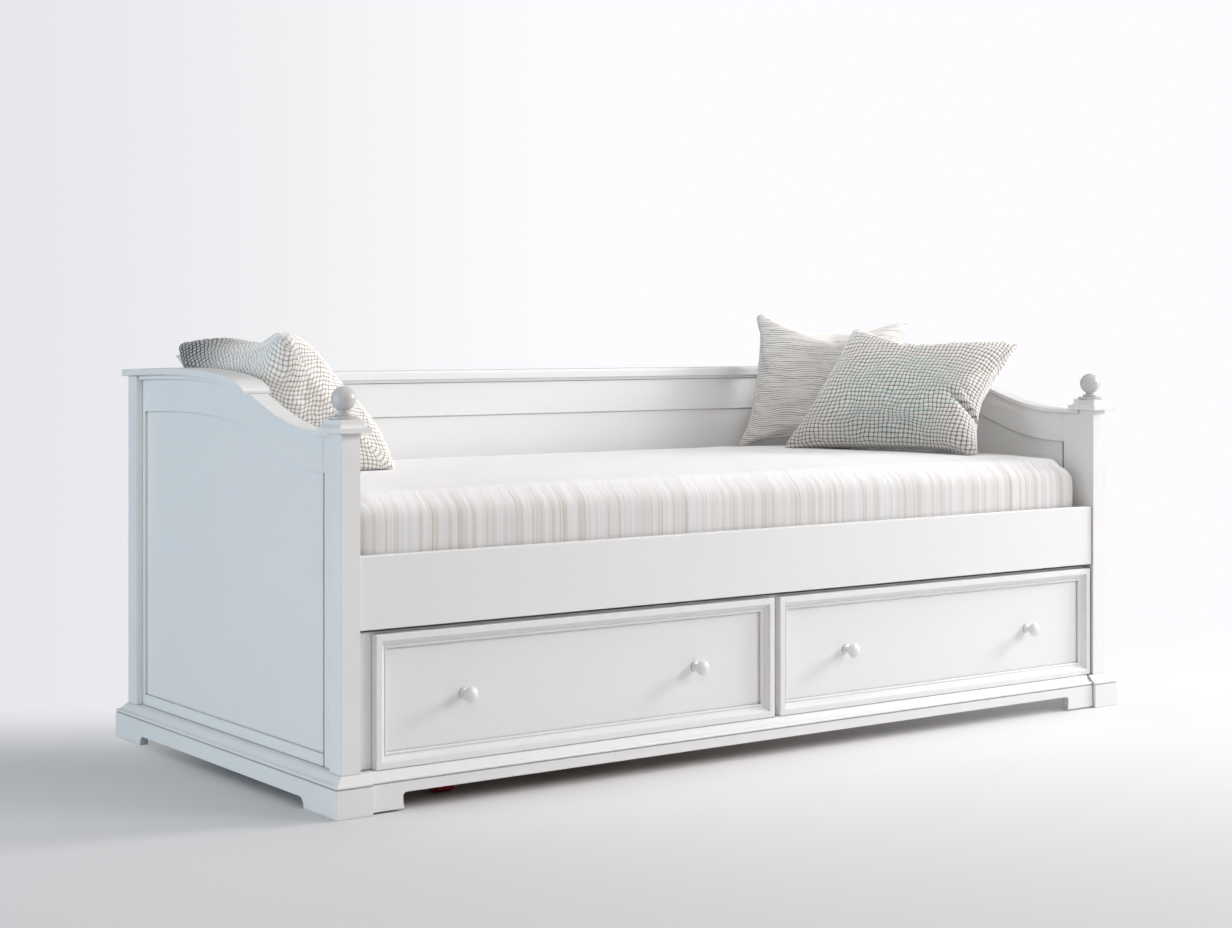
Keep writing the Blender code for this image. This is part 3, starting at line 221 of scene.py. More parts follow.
class Wiring:
    """Adds nodes to a tree, each given its inputs as values or as sockets to link."""

    def __init__(self, tree):
        self.tree = tree

    def feed(self, socket, value):
        """Link a socket to another, or set its own value; a colour may leave out its alpha."""
        if isinstance(value, bpy.types.NodeSocket):
            self.tree.links.new(value, socket)
        elif value is not None:
            socket.default_value = (*value[:3], 1.0) if socket.type == "RGBA" else value

    def node(self, kind, settings=None, values=(), **inputs):
        """A new node, with its settings, its first inputs in order and others by name."""
        made = self.tree.nodes.new(kind)
        for setting, value in (settings or {}).items():
            setattr(made, setting, value)
        for socket, value in zip(made.inputs, values):
            self.feed(socket, value)
        for label, value in inputs.items():
            self.feed(made.inputs[label.replace("_", " ")], value)
        return made

    def math(self, operation, *values):
        return self.node("ShaderNodeMath", {"operation": operation}, values).outputs[0]

    def times(self, first, second):
        return self.math("MULTIPLY", first, second)

    def plus(self, first, second):
        return self.math("ADD", first, second)

    def minus(self, first, second):
        return self.math("SUBTRACT", first, second)

    def larger(self, first, second):
        return self.math("MAXIMUM", first, second)

    def vector(self, operation, *values, **inputs):
        made = self.node("ShaderNodeVectorMath", {"operation": operation}, values, **inputs)
        return made.outputs["Value" if operation in ("LENGTH", "DOT_PRODUCT") else "Vector"]

    def parts(self, vector):
        """The X, Y and Z of a vector."""
        return self.node("ShaderNodeSeparateXYZ", Vector=vector).outputs

    def cloth_map(self, name):
        """Places on a cloth, from one of its UV maps."""
        return self.node("ShaderNodeUVMap", {"uv_map": name}).outputs["UV"]

    def blend(self, factor, low, high, mode="MIX"):
        """A colour between two others."""
        made = self.node("ShaderNodeMix", {"data_type": "RGBA", "blend_type": mode})
        for socket, value in ((0, factor), (6, low), (7, high)):
            self.feed(made.inputs[socket], value)
        return made.outputs[2]

    def spread(self, value, low, high, to_low=0.0, to_high=1.0):
        """A value's place between two others, smoothly taken to a new pair."""
        return self.node("ShaderNodeMapRange", {"interpolation_type": "SMOOTHSTEP"},
                         (value, low, high, to_low, to_high)).outputs[0]

    def noise(self, place, scale, detail=2.0, dimensions="3D"):
        made = self.node("ShaderNodeTexNoise", {"noise_dimensions": dimensions},
                         Scale=scale, Detail=detail)
        self.feed(made.inputs["W" if dimensions == "1D" else "Vector"], place)
        return made.outputs["Fac"]

    def off_middle(self, value):
        """How far the fraction of a value is from one half."""
        return self.math("ABSOLUTE", self.minus(self.math("FRACT", value), 0.5))

    def group(self, name, **inputs):
        """The outputs of a shader node group, placed here with its own inputs."""
        return self.node("ShaderNodeGroup", {"node_tree": bpy.data.node_groups[name]},
                         **inputs).outputs


def new_group(name, inputs, outputs):
    """A shader node group and its wiring, with named sockets."""
    group = bpy.data.node_groups.new(name, "ShaderNodeTree")
    for label, kind, value in inputs:
        socket = group.interface.new_socket(label, in_out="INPUT", socket_type=kind)
        if value is not None:
            socket.default_value = value
    for label, kind in outputs:
        group.interface.new_socket(label, in_out="OUTPUT", socket_type=kind)
    given = group.nodes.new("NodeGroupInput").outputs
    results = group.nodes.new("NodeGroupOutput").inputs
    return Wiring(group), given, results


FLOAT = "NodeSocketFloat"
COLOUR = "NodeSocketColor"
VECTOR = "NodeSocketVector"
GREY = (0.8, 0.8, 0.8, 1.0)
WHITE = (1.0, 1.0, 1.0, 1.0)


def grain_group():
    """Streaks along a board: brush marks in paint, or the grain of wood."""
    wiring, given, results = new_group(
        "Grain", [("Vector", VECTOR, None), ("Stretch", VECTOR, (1.0, 1.0, 1.0)),
                  ("Scale", FLOAT, 40.0), ("Warp", FLOAT, 0.1)],
        [("Streaks", FLOAT)])
    warp = wiring.times(wiring.noise(given["Vector"], 3.0, 1.0), given["Warp"])
    place = wiring.vector("MULTIPLY", wiring.vector("ADD", given["Vector"], warp),
                          given["Stretch"])
    wiring.feed(results["Streaks"], wiring.noise(place, given["Scale"], 4.0))


def crease_shade_group():
    """Painted shade where surfaces meet: Mask is 1 in any crease, Gap only in narrow gaps."""
    wiring, given, results = new_group(
        "Crease shade", [("Reach", FLOAT, 0.01)], [("Mask", FLOAT), ("Gap", FLOAT)])
    covered = wiring.node("ShaderNodeAmbientOcclusion", {"samples": 8}, Distance=given["Reach"])
    wiring.feed(results["Mask"], wiring.spread(covered.outputs["AO"], 0.35, 0.95, 1.0, 0.0))
    wiring.feed(results["Gap"], wiring.spread(covered.outputs["AO"], 0.10, 0.44, 1.0, 0.0))


def weave_group():
    """Plain weave: Height has threads over and under each other, Slubs their uneven thickness."""
    wiring, given, results = new_group(
        "Weave", [("Vector", VECTOR, None), ("Threads", FLOAT, 1500.0)],
        [("Height", FLOAT), ("Slubs", FLOAT)])
    parts = wiring.parts(wiring.vector("SCALE", given["Vector"], Scale=given["Threads"]))
    waves = [wiring.math("SINE", wiring.times(parts[label], math.pi)) for label in "XYZ"]
    wiring.feed(results["Height"], wiring.plus(wiring.times(waves[0], waves[1]),
                                               wiring.times(waves[1], waves[2])))
    wiring.feed(results["Slubs"], wiring.noise(given["Vector"], 90.0, 3.0))


def tint_group():
    """A colour that drifts a little lighter and darker over a surface."""
    wiring, given, results = new_group(
        "Drift", [("Vector", VECTOR, None), ("Colour", COLOUR, GREY), ("Scale", FLOAT, 4.0),
                  ("Amount", FLOAT, 0.05)],
        [("Colour", COLOUR)])
    drift = wiring.minus(wiring.noise(given["Vector"], given["Scale"], 3.0), 0.5)
    share = wiring.plus(wiring.times(drift, given["Amount"]), 1.0)
    wiring.feed(results["Colour"], wiring.vector("SCALE", given["Colour"], Scale=share))


def backdrop_group():
    """The backdrop in a direction: pale grey to the left of the view, white to the right."""
    wiring, given, results = new_group(
        "Backdrop", [("Vector", VECTOR, None), ("Aside", VECTOR, (1.0, 0.0, 0.0)),
                     ("Left", COLOUR, GREY), ("Right", COLOUR, WHITE)],
        [("Colour", COLOUR)])
    toward = wiring.vector("NORMALIZE", given["Vector"])
    share = wiring.spread(wiring.vector("DOT_PRODUCT", toward, given["Aside"]), -0.30, 0.02)
    wiring.feed(results["Colour"], wiring.blend(share, given["Left"], given["Right"]))


def painted_shade_group():
    """Painted shade and light: a colour darker or paler from one height to another."""
    wiring, given, results = new_group(
        "Painted shade", [("Vector", VECTOR, None), ("Colour", COLOUR, GREY), ("Bottom", FLOAT, 0.0),
                  ("Top", FLOAT, 1.0), ("Bottom share", FLOAT, 1.0), ("Top share", FLOAT, 1.0)],
        [("Colour", COLOUR)])
    share = wiring.spread(wiring.parts(given["Vector"])["Z"], given["Bottom"], given["Top"],
                          given["Bottom share"], given["Top share"])
    wiring.feed(results["Colour"], wiring.vector("MULTIPLY", given["Colour"], share))


# Shares of a sheet's width between which the painted shade of a dark tip ends, and the spot that
# the tint is around
TIP_SHARES = (0.12, 0.56)
TINT_SPOT = (0.52, 0.36, 0.0)
# In cells: half a thread's least and most width, and how much the painted-shade dark tip adds to it
THREAD_HALF = (0.02, 0.095)
TIP_THICKER = 0.10


def net_group():
    """Puffs held in a net: thread along whole numbers of Cells, and places from 0 to 1 in Sheet."""
    wiring, given, results = new_group(
        "Net", [("Cells", VECTOR, None), ("Sheet", VECTOR, None), ("Offset", VECTOR, None),
                ("Thread", COLOUR, GREY), ("Thread share", FLOAT, 1.0),
                ("Sunken share", FLOAT, 0.5), ("Puff", COLOUR, WHITE), ("Tint", COLOUR, WHITE),
                ("Tint share", FLOAT, 0.5), ("Valley", COLOUR, GREY), ("Tip share", FLOAT, 0.0),
                ("Tip puff", COLOUR, GREY), ("Tip thread", COLOUR, GREY)],
        [("Colour", COLOUR)])
    jittered = wiring.vector("ADD", given["Cells"], given["Offset"])
    parts = wiring.parts(given["Cells"])
    distances = [wiring.minus(0.5, wiring.off_middle(parts[label])) for label in "XY"]
    # Painted shade: one tip of a pillow may be painted dark, with thicker thread
    across = wiring.parts(given["Sheet"])["X"]
    tip = wiring.times(wiring.spread(across, *TIP_SHARES, 1.0, 0.0), given["Tip share"])
    ragged = wiring.times(wiring.spread(wiring.noise(jittered, 1.9, 2.0), 0.3, 0.7, *THREAD_HALF),
                          given["Thread share"])
    ragged = wiring.plus(ragged, wiring.times(tip, TIP_THICKER))
    runs = []
    for distance, other in zip(distances, reversed(distances)):
        # A thread shows most beside its crossings, and sinks between the puffs
        run = wiring.spread(wiring.minus(distance, ragged), 0.0, 0.05, 1.0, 0.0)
        shown = wiring.spread(other, 0.05, 0.42, 1.0, given["Sunken share"])
        runs.append(wiring.times(run, wiring.larger(shown, tip)))
    knot = wiring.times(*[wiring.spread(item, 0.10, 0.22, 1.0, 0.0) for item in distances])
    thread = wiring.larger(wiring.larger(*runs), knot)
    # Some puffs around a spot are tinted, each by its own amount
    spot = wiring.vector("LENGTH", wiring.vector("SUBTRACT", given["Sheet"], TINT_SPOT))
    around = wiring.plus(spot, wiring.times(wiring.noise(jittered, 0.12, 2.0), 0.30))
    own = wiring.node("ShaderNodeTexWhiteNoise", Vector=wiring.vector("FLOOR", jittered))
    tint = wiring.times(wiring.spread(around, 0.30, 0.62, given["Tint share"], 0.0),
                        wiring.spread(own.outputs["Value"], 0.1, 0.9, 0.25, 1.0))
    puff = wiring.blend(tint, given["Puff"], given["Tint"])
    puff = wiring.blend(wiring.times(tip, 0.85), puff, given["Tip puff"])
    # Painted shade in the valleys beside the thread
    rise = wiring.spread(wiring.math("MINIMUM", *distances), 0.02, 0.24)
    sunk = wiring.blend(wiring.minus(1.0, rise), puff, given["Valley"], "MULTIPLY")
    strength = wiring.spread(wiring.noise(jittered, 0.30, 2.0), 0.3, 0.62, 0.72, 1.0)
    dark = wiring.blend(tip, given["Thread"], given["Tip thread"])
    wiring.feed(results["Colour"], wiring.blend(wiring.times(thread, strength), sunk, dark))


def make_groups():
    for build in (grain_group, crease_shade_group, weave_group, tint_group, backdrop_group,
                  painted_shade_group, net_group):
        build()


class Finish:
    """A material with one Principled shader, its wiring and the places on its piece."""

    def __init__(self, name, roughness=0.5):
        self.material = bpy.data.materials.new(name)
        self.material.use_nodes = True
        self.wiring = Wiring(self.material.node_tree)
        self.shader = self.material.node_tree.nodes["Principled BSDF"]
        self.place = self.wiring.node("ShaderNodeTexCoord").outputs["Object"]
        self.shade({"Roughness": roughness})

    def shade(self, inputs):
        """Give the shader's sockets a value or a link each."""
        for label, value in inputs.items():
            self.wiring.feed(self.shader.inputs[label], value)

    def streaks(self, axis, share, scale, warp):
        """Streaks along an axis; the smaller the share, the longer they are."""
        stretch = tuple(share if index == axis else 1.0 for index in range(3))
        return self.wiring.group("Grain", Vector=self.place, Stretch=stretch, Scale=scale,
                                 Warp=warp)["Streaks"]

    def drift(self, colour, scale, amount):
        return self.wiring.group("Drift", Vector=self.place, Colour=colour, Scale=scale,
                                 Amount=amount)["Colour"]

    def bump(self, height, distance, strength, normal=None):
        bump = self.wiring.node("ShaderNodeBump", Height=height, Distance=distance,
                                Strength=strength, Normal=normal)
        self.shade({"Normal": bump.outputs["Normal"]})

    def cloth(self, colour, scale, amount, slub_depth, slub_strength, sheen):
        """End a cloth: its colour with some drift, its slubs and its sheen."""
        self.shade({"Base Color": self.drift(colour, scale, amount), "Sheen Weight": sheen})
        slubs = self.wiring.group("Weave", Vector=self.place)["Slubs"]
        self.bump(slubs, slub_depth, slub_strength)


# Finishes

def long_axis(node):
    low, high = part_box(node)
    size = high - low
    return max(range(3), key=lambda axis: size[axis])


# How strongly the painted shade in creases and gaps darkens the lacquer
CREASE_SHADE_STRENGTH = 0.85
GAP_SHADE_STRENGTH = 0.92
# Painted shadow line on a front post beside the recess of its panel: its width, half its soft edge,
# the height over which it ends and its strength
GROOVE_SHADOW_WIDTH = 0.0045
GROOVE_SHADOW_SOFT = 0.0008
GROOVE_SHADOW_END = 0.002
GROOVE_SHADOW_STRENGTH = 0.80


def paint_finish(settings, name, axis, colour, groove_shadow=None):
    """Satin white lacquer with faint brush marks along the board, and painted shade in creases and
    gaps.
    """
    finish = Finish(name)
    wiring = finish.wiring
    streaks = finish.streaks(axis, 0.03, 260.0, 0.02)
    # Painted shade in creases and gaps
    crease = wiring.group("Crease shade", Reach=settings.crease_shade_reach)
    paint_with_crease_shade = wiring.blend(wiring.times(crease["Mask"], CREASE_SHADE_STRENGTH),
                                 finish.drift(colour, 2.2, 0.035), settings.crease_shade_colour)
    gap = wiring.times(crease["Gap"], GAP_SHADE_STRENGTH)
    if groove_shadow:
        # The painted shadow line starts at a place along Y and goes up to the arch
        start, top = groove_shadow
        parts = wiring.parts(finish.place)
        across = wiring.spread(parts["Y"], start - GROOVE_SHADOW_SOFT, start + GROOVE_SHADOW_SOFT)
        upward = wiring.spread(parts["Z"], top, top + GROOVE_SHADOW_END, GROOVE_SHADOW_STRENGTH, 0.0)
        gap = wiring.larger(gap, wiring.times(across, upward))
    rounded = wiring.node("ShaderNodeBevel", {"samples": 4}, Radius=settings.edge_radius)
    finish.bump(streaks, 0.00012, 0.35, rounded.outputs["Normal"])
    finish.shade({"Base Color": wiring.blend(gap, paint_with_crease_shade, settings.gap_shade_colour),
                  "Roughness": wiring.spread(streaks, 0.3, 0.7, settings.roughness - 0.05,
                                             settings.roughness + 0.07),
                  "Coat Weight": 0.12, "Coat Roughness": 0.25})
    return finish.material


def wood_finish(name, light, dark, axis):
    """Bare wood with grain along the board."""
    finish = Finish(name)
    wiring = finish.wiring
    rings = wiring.spread(finish.streaks(axis, 0.06, 90.0, 0.25), 0.42, 0.62)
    fine = finish.streaks(axis, 0.015, 700.0, 0.02)
    pores = tuple(0.8 * channel for channel in dark)
    colour = wiring.blend(wiring.times(fine, 0.35), wiring.blend(rings, light, dark), pores)
    finish.shade({"Base Color": finish.drift(colour, 5.0, 0.16),
                  "Roughness": wiring.spread(fine, 0.3, 0.7, 0.5, 0.68)})
    finish.bump(fine, 0.0002, 0.5)
    return finish.material


def steel_finish(settings):
    """Zinc-plated pressed steel."""
    finish = Finish("zinc_steel")
    spangle = finish.wiring.noise(finish.place, 160.0, 4.0)
    finish.shade({"Base Color": finish.drift(settings.steel_colour, 120.0, 0.25),
                  "Metallic": 1.0,
                  "Roughness": finish.wiring.spread(spangle, 0.3, 0.7, 0.28, 0.46)})
    finish.bump(spangle, 0.0001, 0.3)
    return finish.material


# How far the painted shade in a crease darkens the plastic of the wheels
TREAD_CREASE_SHADE_REACH = 0.006


def tread_finish(settings):
    """Moulded plastic of the wheels, scuffed on the tread, with painted shade in its corners."""
    finish = Finish("wheel_plastic")
    wiring = finish.wiring
    scuff = wiring.noise(finish.place, 240.0, 5.0)
    worn = wiring.blend(wiring.spread(scuff, 0.55, 0.75, 0.0, 0.5), settings.tread_colour,
                        settings.scuff_colour)
    # Painted shade in the corners of the wheels
    crease = wiring.group("Crease shade", Reach=TREAD_CREASE_SHADE_REACH)["Mask"]
    finish.shade({"Base Color": wiring.blend(crease, worn, settings.tread_crease_shade),
                  "Roughness": wiring.spread(scuff, 0.3, 0.7, 0.36, 0.58)})
    finish.bump(scuff, 0.00015, 0.4)
    return finish.material


# Threads to a metre of the cover
COVER_THREADS = 1400.0
# Painted light on the top: depths below the top between which the print ends, distances from the
# front between which its last trace ends on the top, and how far the ground of the sides rolls over
# the edge before the top is painted paler
PRINT_DEPTHS = (0.060, 0.004)
PRINT_TRACE = (0.02, 0.22)
ROLLED_EDGE = 0.12


def cover_finish(settings):
    """Striped cover: irregular soft stripes with thin lines between them, front to back."""
    finish = Finish("striped_cover", 0.9)
    wiring = finish.wiring
    parts = wiring.parts(finish.place)
    sway = wiring.noise(wiring.vector("MULTIPLY", finish.place, (1.0, 0.35, 0.35)), 5.0, 2.0)
    along = wiring.plus(parts["X"], wiring.times(sway, 0.012))
    broad = wiring.noise(along, 1.0 / settings.stripe_pitch, 1.5, "1D")
    fine = wiring.noise(along, 1.0 / settings.line_pitch, 2.0, "1D")
    pins = wiring.noise(wiring.plus(along, 7.3), 1.1 / settings.line_pitch, 0.0, "1D")
    stripe = wiring.spread(broad, 0.40, 0.60)
    streaked = wiring.times(stripe, wiring.spread(fine, 0.35, 0.62, 0.25, 1.0))
    pin = wiring.spread(wiring.math("ABSOLUTE", wiring.minus(pins, 0.5)), 0.0, 0.05, 1.0, 0.0)
    pin = wiring.times(pin, wiring.plus(wiring.times(stripe, 0.35), 0.35))
    # The print ends raggedly at the upper edge, and the top is painted white: painted light,
    # which also fades the print there
    low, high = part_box("mattress")
    level = wiring.plus(parts["Z"], wiring.times(wiring.minus(fine, 0.5), 0.07))
    side = wiring.spread(level, *[high.z - depth for depth in PRINT_DEPTHS], 1.0, 0.0)
    edge = wiring.spread(parts["Y"], *[low.y + reach for reach in PRINT_TRACE], 0.16, 0.05)
    strength = wiring.times(wiring.larger(side, edge), settings.print_strength)
    rolled = wiring.spread(parts["Y"], low.y, low.y + ROLLED_EDGE, 0.40, 0.0)
    colour = wiring.blend(wiring.larger(side, rolled), settings.lit_top_colour,
                          settings.side_colour)
    colour = wiring.blend(wiring.times(streaked, strength), colour, settings.stripe_colour)
    colour = wiring.blend(wiring.times(pin, strength), colour, settings.line_colour)
    finish.shade({"Base Color": finish.drift(colour, 60.0, 0.035),
                  "Sheen Weight": 0.15, "Sheen Roughness": 0.5})
    weave = wiring.group("Weave", Vector=finish.place, Threads=COVER_THREADS)
    finish.bump(weave["Height"], 0.0002, 0.25)
    return finish.material


# Painted shade and light: how dark or pale the cloth is at the bottom and at the top of a pillow
PAINTED_SHADE_SHARES = {"pillow_net_left": (1.06, 1.0), "pillow_net_right": (0.78, 1.07),
                "pillow_ribbed_right": (0.89, 1.08)}


def with_painted_shade(finish, colour, node):
    """A pillow's colour with painted shade: darker or paler from the bottom of its CAD piece to the
    top.
    """
    low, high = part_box(node)
    low_share, high_share = PAINTED_SHADE_SHARES[node]
    return finish.wiring.group(
        "Painted shade", Vector=finish.place, Colour=colour, Bottom=low.z, Top=high.z,
        Bottom_share=low_share, Top_share=high_share)["Colour"]


def net_finish(name, node, settings, thread_colour, thread_share, tint_share, tip_shade, seed):
    """Puffed cloth held in a net, with its own thread and tint, painted shade beside the thread and
    a painted-shade dark tip.
    """
    finish = Finish(name, 0.9)
    wiring = finish.wiring
    colour = wiring.group(
        "Net", Cells=wiring.cloth_map("cells"), Sheet=wiring.cloth_map("sheet"),
        Offset=(seed, seed, 0.0), Thread=thread_colour, Thread_share=thread_share,
        Sunken_share=settings.net_break, Puff=settings.puff_colour, Tint=settings.puff_tint,
        Tint_share=tint_share, Valley=settings.valley_shade, Tip_share=tip_shade,
        Tip_puff=settings.puff_shade, Tip_thread=settings.net_shade)["Colour"]
    finish.cloth(with_painted_shade(finish, colour, node), 180.0, 0.10, 0.0006, 0.35, 0.2)
    return finish.material


def ribbed_finish(settings):
    """Crinkled cloth with fine, broken lines in the folds."""
    finish = Finish("crinkled_cloth", 0.92)
    wiring = finish.wiring
    cells = wiring.cloth_map("cells")
    wander = wiring.noise(wiring.vector("MULTIPLY", cells, (0.9, 1.0, 1.0)), 0.8, 2.0)
    across = wiring.plus(wiring.parts(cells)["Y"], wiring.times(wander, 0.5))
    fold = wiring.spread(wiring.off_middle(across), 0.16, 0.42, 0.0, 1.0)
    broken = wiring.noise(wiring.vector("MULTIPLY", cells, (0.35, 1.3, 1.0)), 0.45, 3.0)
    strength = wiring.spread(broken, 0.34, 0.60, 0.35, 1.0)
    colour = wiring.blend(wiring.times(fold, strength), settings.ribbed_colour,
                          settings.ribbed_line)
    finish.cloth(with_painted_shade(finish, colour, "pillow_ribbed_right"), 40.0, 0.08, 0.0006, 0.4, 0.15)
    return finish.material


def plain_finish(settings):
    """Plain white cotton."""
    finish = Finish("plain_cotton", 0.9)
    finish.cloth(settings.plain_colour, 14.0, 0.05, 0.0005, 0.3, 0.15)
    return finish.material


# Shape helpers

def link(piece):
    bpy.context.scene.collection.objects.link(piece)
    return piece


def cad_mesh(node):
    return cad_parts[node].data


def points_of(mesh):
    return np.array([vertex.co for vertex in mesh.vertices])


def surface_of(*meshes):
    """One search tree over the surfaces of some meshes."""
    points, faces = [], []
    for mesh in meshes:
        start = len(points)
        points += [vertex.co.copy() for vertex in mesh.vertices]
        faces += [[start + index for index in face.vertices] for face in mesh.polygons]
    return BVHTree.FromPolygons(points, faces)


def surface_of_parts(whole, *parts):
    """One search tree over CAD pieces whose names start alike."""
    return surface_of(*[cad_mesh(whole + "_" + part) for part in parts])


def clear_of(points, surface):
    """Move points that lie in or on a solid to just outside it."""
    for index, point in enumerate(points):
        near, normal = surface.find_nearest(Vector(point), SEARCH_REACH)[:2]
        if near is not None and (Vector(point) - near).dot(normal) < CONTACT_GAP:
            points[index] = near + normal * CONTACT_GAP


def stay_behind(points, surface, facing):
    """Move points that poke through a neighbour to just behind its far side."""
    backward = Vector(facing) * -1
    for index, point in enumerate(points):
        start = Vector(point) + backward * RAY_REACH
        hit = surface.ray_cast(start, -backward, RAY_REACH + MOST_SHIFT)[0]
        if hit is None:
            continue
        needed = (hit - Vector(point)).dot(backward) + CONTACT_GAP
        if 0 < needed < MOST_SHIFT:
            points[index] = Vector(point) + backward * needed


def cubic_weights(share):
    """Weights of four neighbours for a smooth curve through the middle two."""
    square, cube = share ** 2, share ** 3
    return np.stack((-cube + 2 * square - share, 3 * cube - 5 * square + 2,
                     -3 * cube + 4 * square + share, cube - square)) / 2


def smooth_sample(grid, along, across):
    """A grid's values at places from 0 to 1 along its sides, smoothly between its points."""
    result = 0.0
    lines = []
    for places, count in ((along, grid.shape[0] - 1), (across, grid.shape[1] - 1)):
        numbers = np.clip(places, 0.0, 1.0) * count
        cell = np.clip(np.floor(numbers).astype(int), 0, count - 1)
        weights = cubic_weights(numbers - cell)
        lines.append([(np.clip(cell + step - 1, 0, count), weights[step]) for step in range(4)])
    for first, first_weight in lines[0]:
        for second, second_weight in lines[1]:
            weight = first_weight * second_weight
            values = grid[first, second]
            result = result + (weight[..., None] if grid.ndim == 3 else weight) * values
    return result


def grid_places(shape, low=0):
    """Places of the points of a grid along its two sides, from a low number to 1."""
    return np.meshgrid(*[np.linspace(low, 1, count) for count in shape], indexing="ij")


def ripples(shape, cells, seed):
    """Smooth random values from -1 to 1, with about this many bumps each way."""
    grid = np.random.default_rng(seed).uniform(-1.0, 1.0, (cells[0] + 1, cells[1] + 1))
    return smooth_sample(grid, *grid_places(shape))


def grid_faces(rows, columns, start=0, flip=False):
    """Corner numbers of the faces of a grid of points."""
    numbers = start + np.arange(rows * columns).reshape(rows, columns)
    corners = (numbers[:-1, :-1], numbers[1:, :-1], numbers[1:, 1:], numbers[:-1, 1:])
    if flip:
        corners = corners[::-1]
    return np.stack(corners, axis=-1).reshape(-1, 4)


def mesh_piece(name, points, faces, material, smooth=True):
    """An object with one material, from an array of points and lists of corner numbers."""
    mesh = bpy.data.meshes.new(name)
    mesh.from_pydata(points.tolist(), [], faces)
    mesh.materials.append(material)
    if smooth:
        mesh.shade_smooth()
    mesh.update()
    return link(bpy.data.objects.new(name, mesh))


# Pillows

# The cloth of a pillow while it settles, how far a point may move, and for how many frames
CLOTH = {"quality": 5, "mass": 0.25, "tension_stiffness": 12, "compression_stiffness": 12,
         "shear_stiffness": 6, "bending_stiffness": 0.15, "air_damping": 3,
         "use_pressure": True, "uniform_pressure_force": 4.0, "shrink_min": -0.035,
         "vertex_group_mass": "corners"}
MOST_SETTLING = 0.009
SETTLING_FRAMES = 20

# Each pillow's CAD piece, faces to a cell each way, how far its cells wander and its seed.
# A pull is a place, a reach and a shift. The fold has its two ends, a depth and a width.
PILLOWS = {
    "netted_pillow_left": {
        "node": "pillow_net_left", "per_cell": (3, 3), "waver": (1.8, 1.8), "seed": 11,
        "slanting": True,
        "pulls": (((-0.871, 0.108, 0.907), 0.13, (0.012, -0.004, -0.018)),
                  ((-0.972, 0.416, 0.855), 0.07, (0.012, 0.0, 0.004)))},
    "plain_pillow": {
        "node": "pillow_plain_left", "per_cell": (3, 3), "waver": (0.0, 0.0), "seed": 23},
    "netted_pillow_right": {
        "node": "pillow_net_right", "per_cell": (4, 4), "waver": (1.4, 1.4), "seed": 53,
        "pulls": (((0.707, 0.109, 0.753), 0.17, (-0.015, 0.032, 0.0)),
                  ((0.577, 0.118, 0.614), 0.07, (-0.005, 0.011, 0.0)),
                  ((0.820, 0.155, 0.900), 0.08, (0.004, -0.006, 0.010)),
                  ((0.693, -0.100, 0.627), 0.15, (0.0, 0.0, -0.008))),
        "fold": ((0.80, 0.42), (1.02, 0.27), 0.030, 0.024)},
    "crinkled_pillow": {
        "node": "pillow_ribbed_right", "per_cell": (3, 4), "waver": (0.0, 1.6), "seed": 37,
        "pulls": (((0.680, 0.371, 0.776), 0.17, (-0.014, 0.013, 0.0)),
                  ((0.836, 0.261, 0.924), 0.10, (0.0, 0.0, -0.012)))},
}


# Added to a difference between two levels before it divides, so that it is never zero
LEVEL_NUDGE = 1e-12


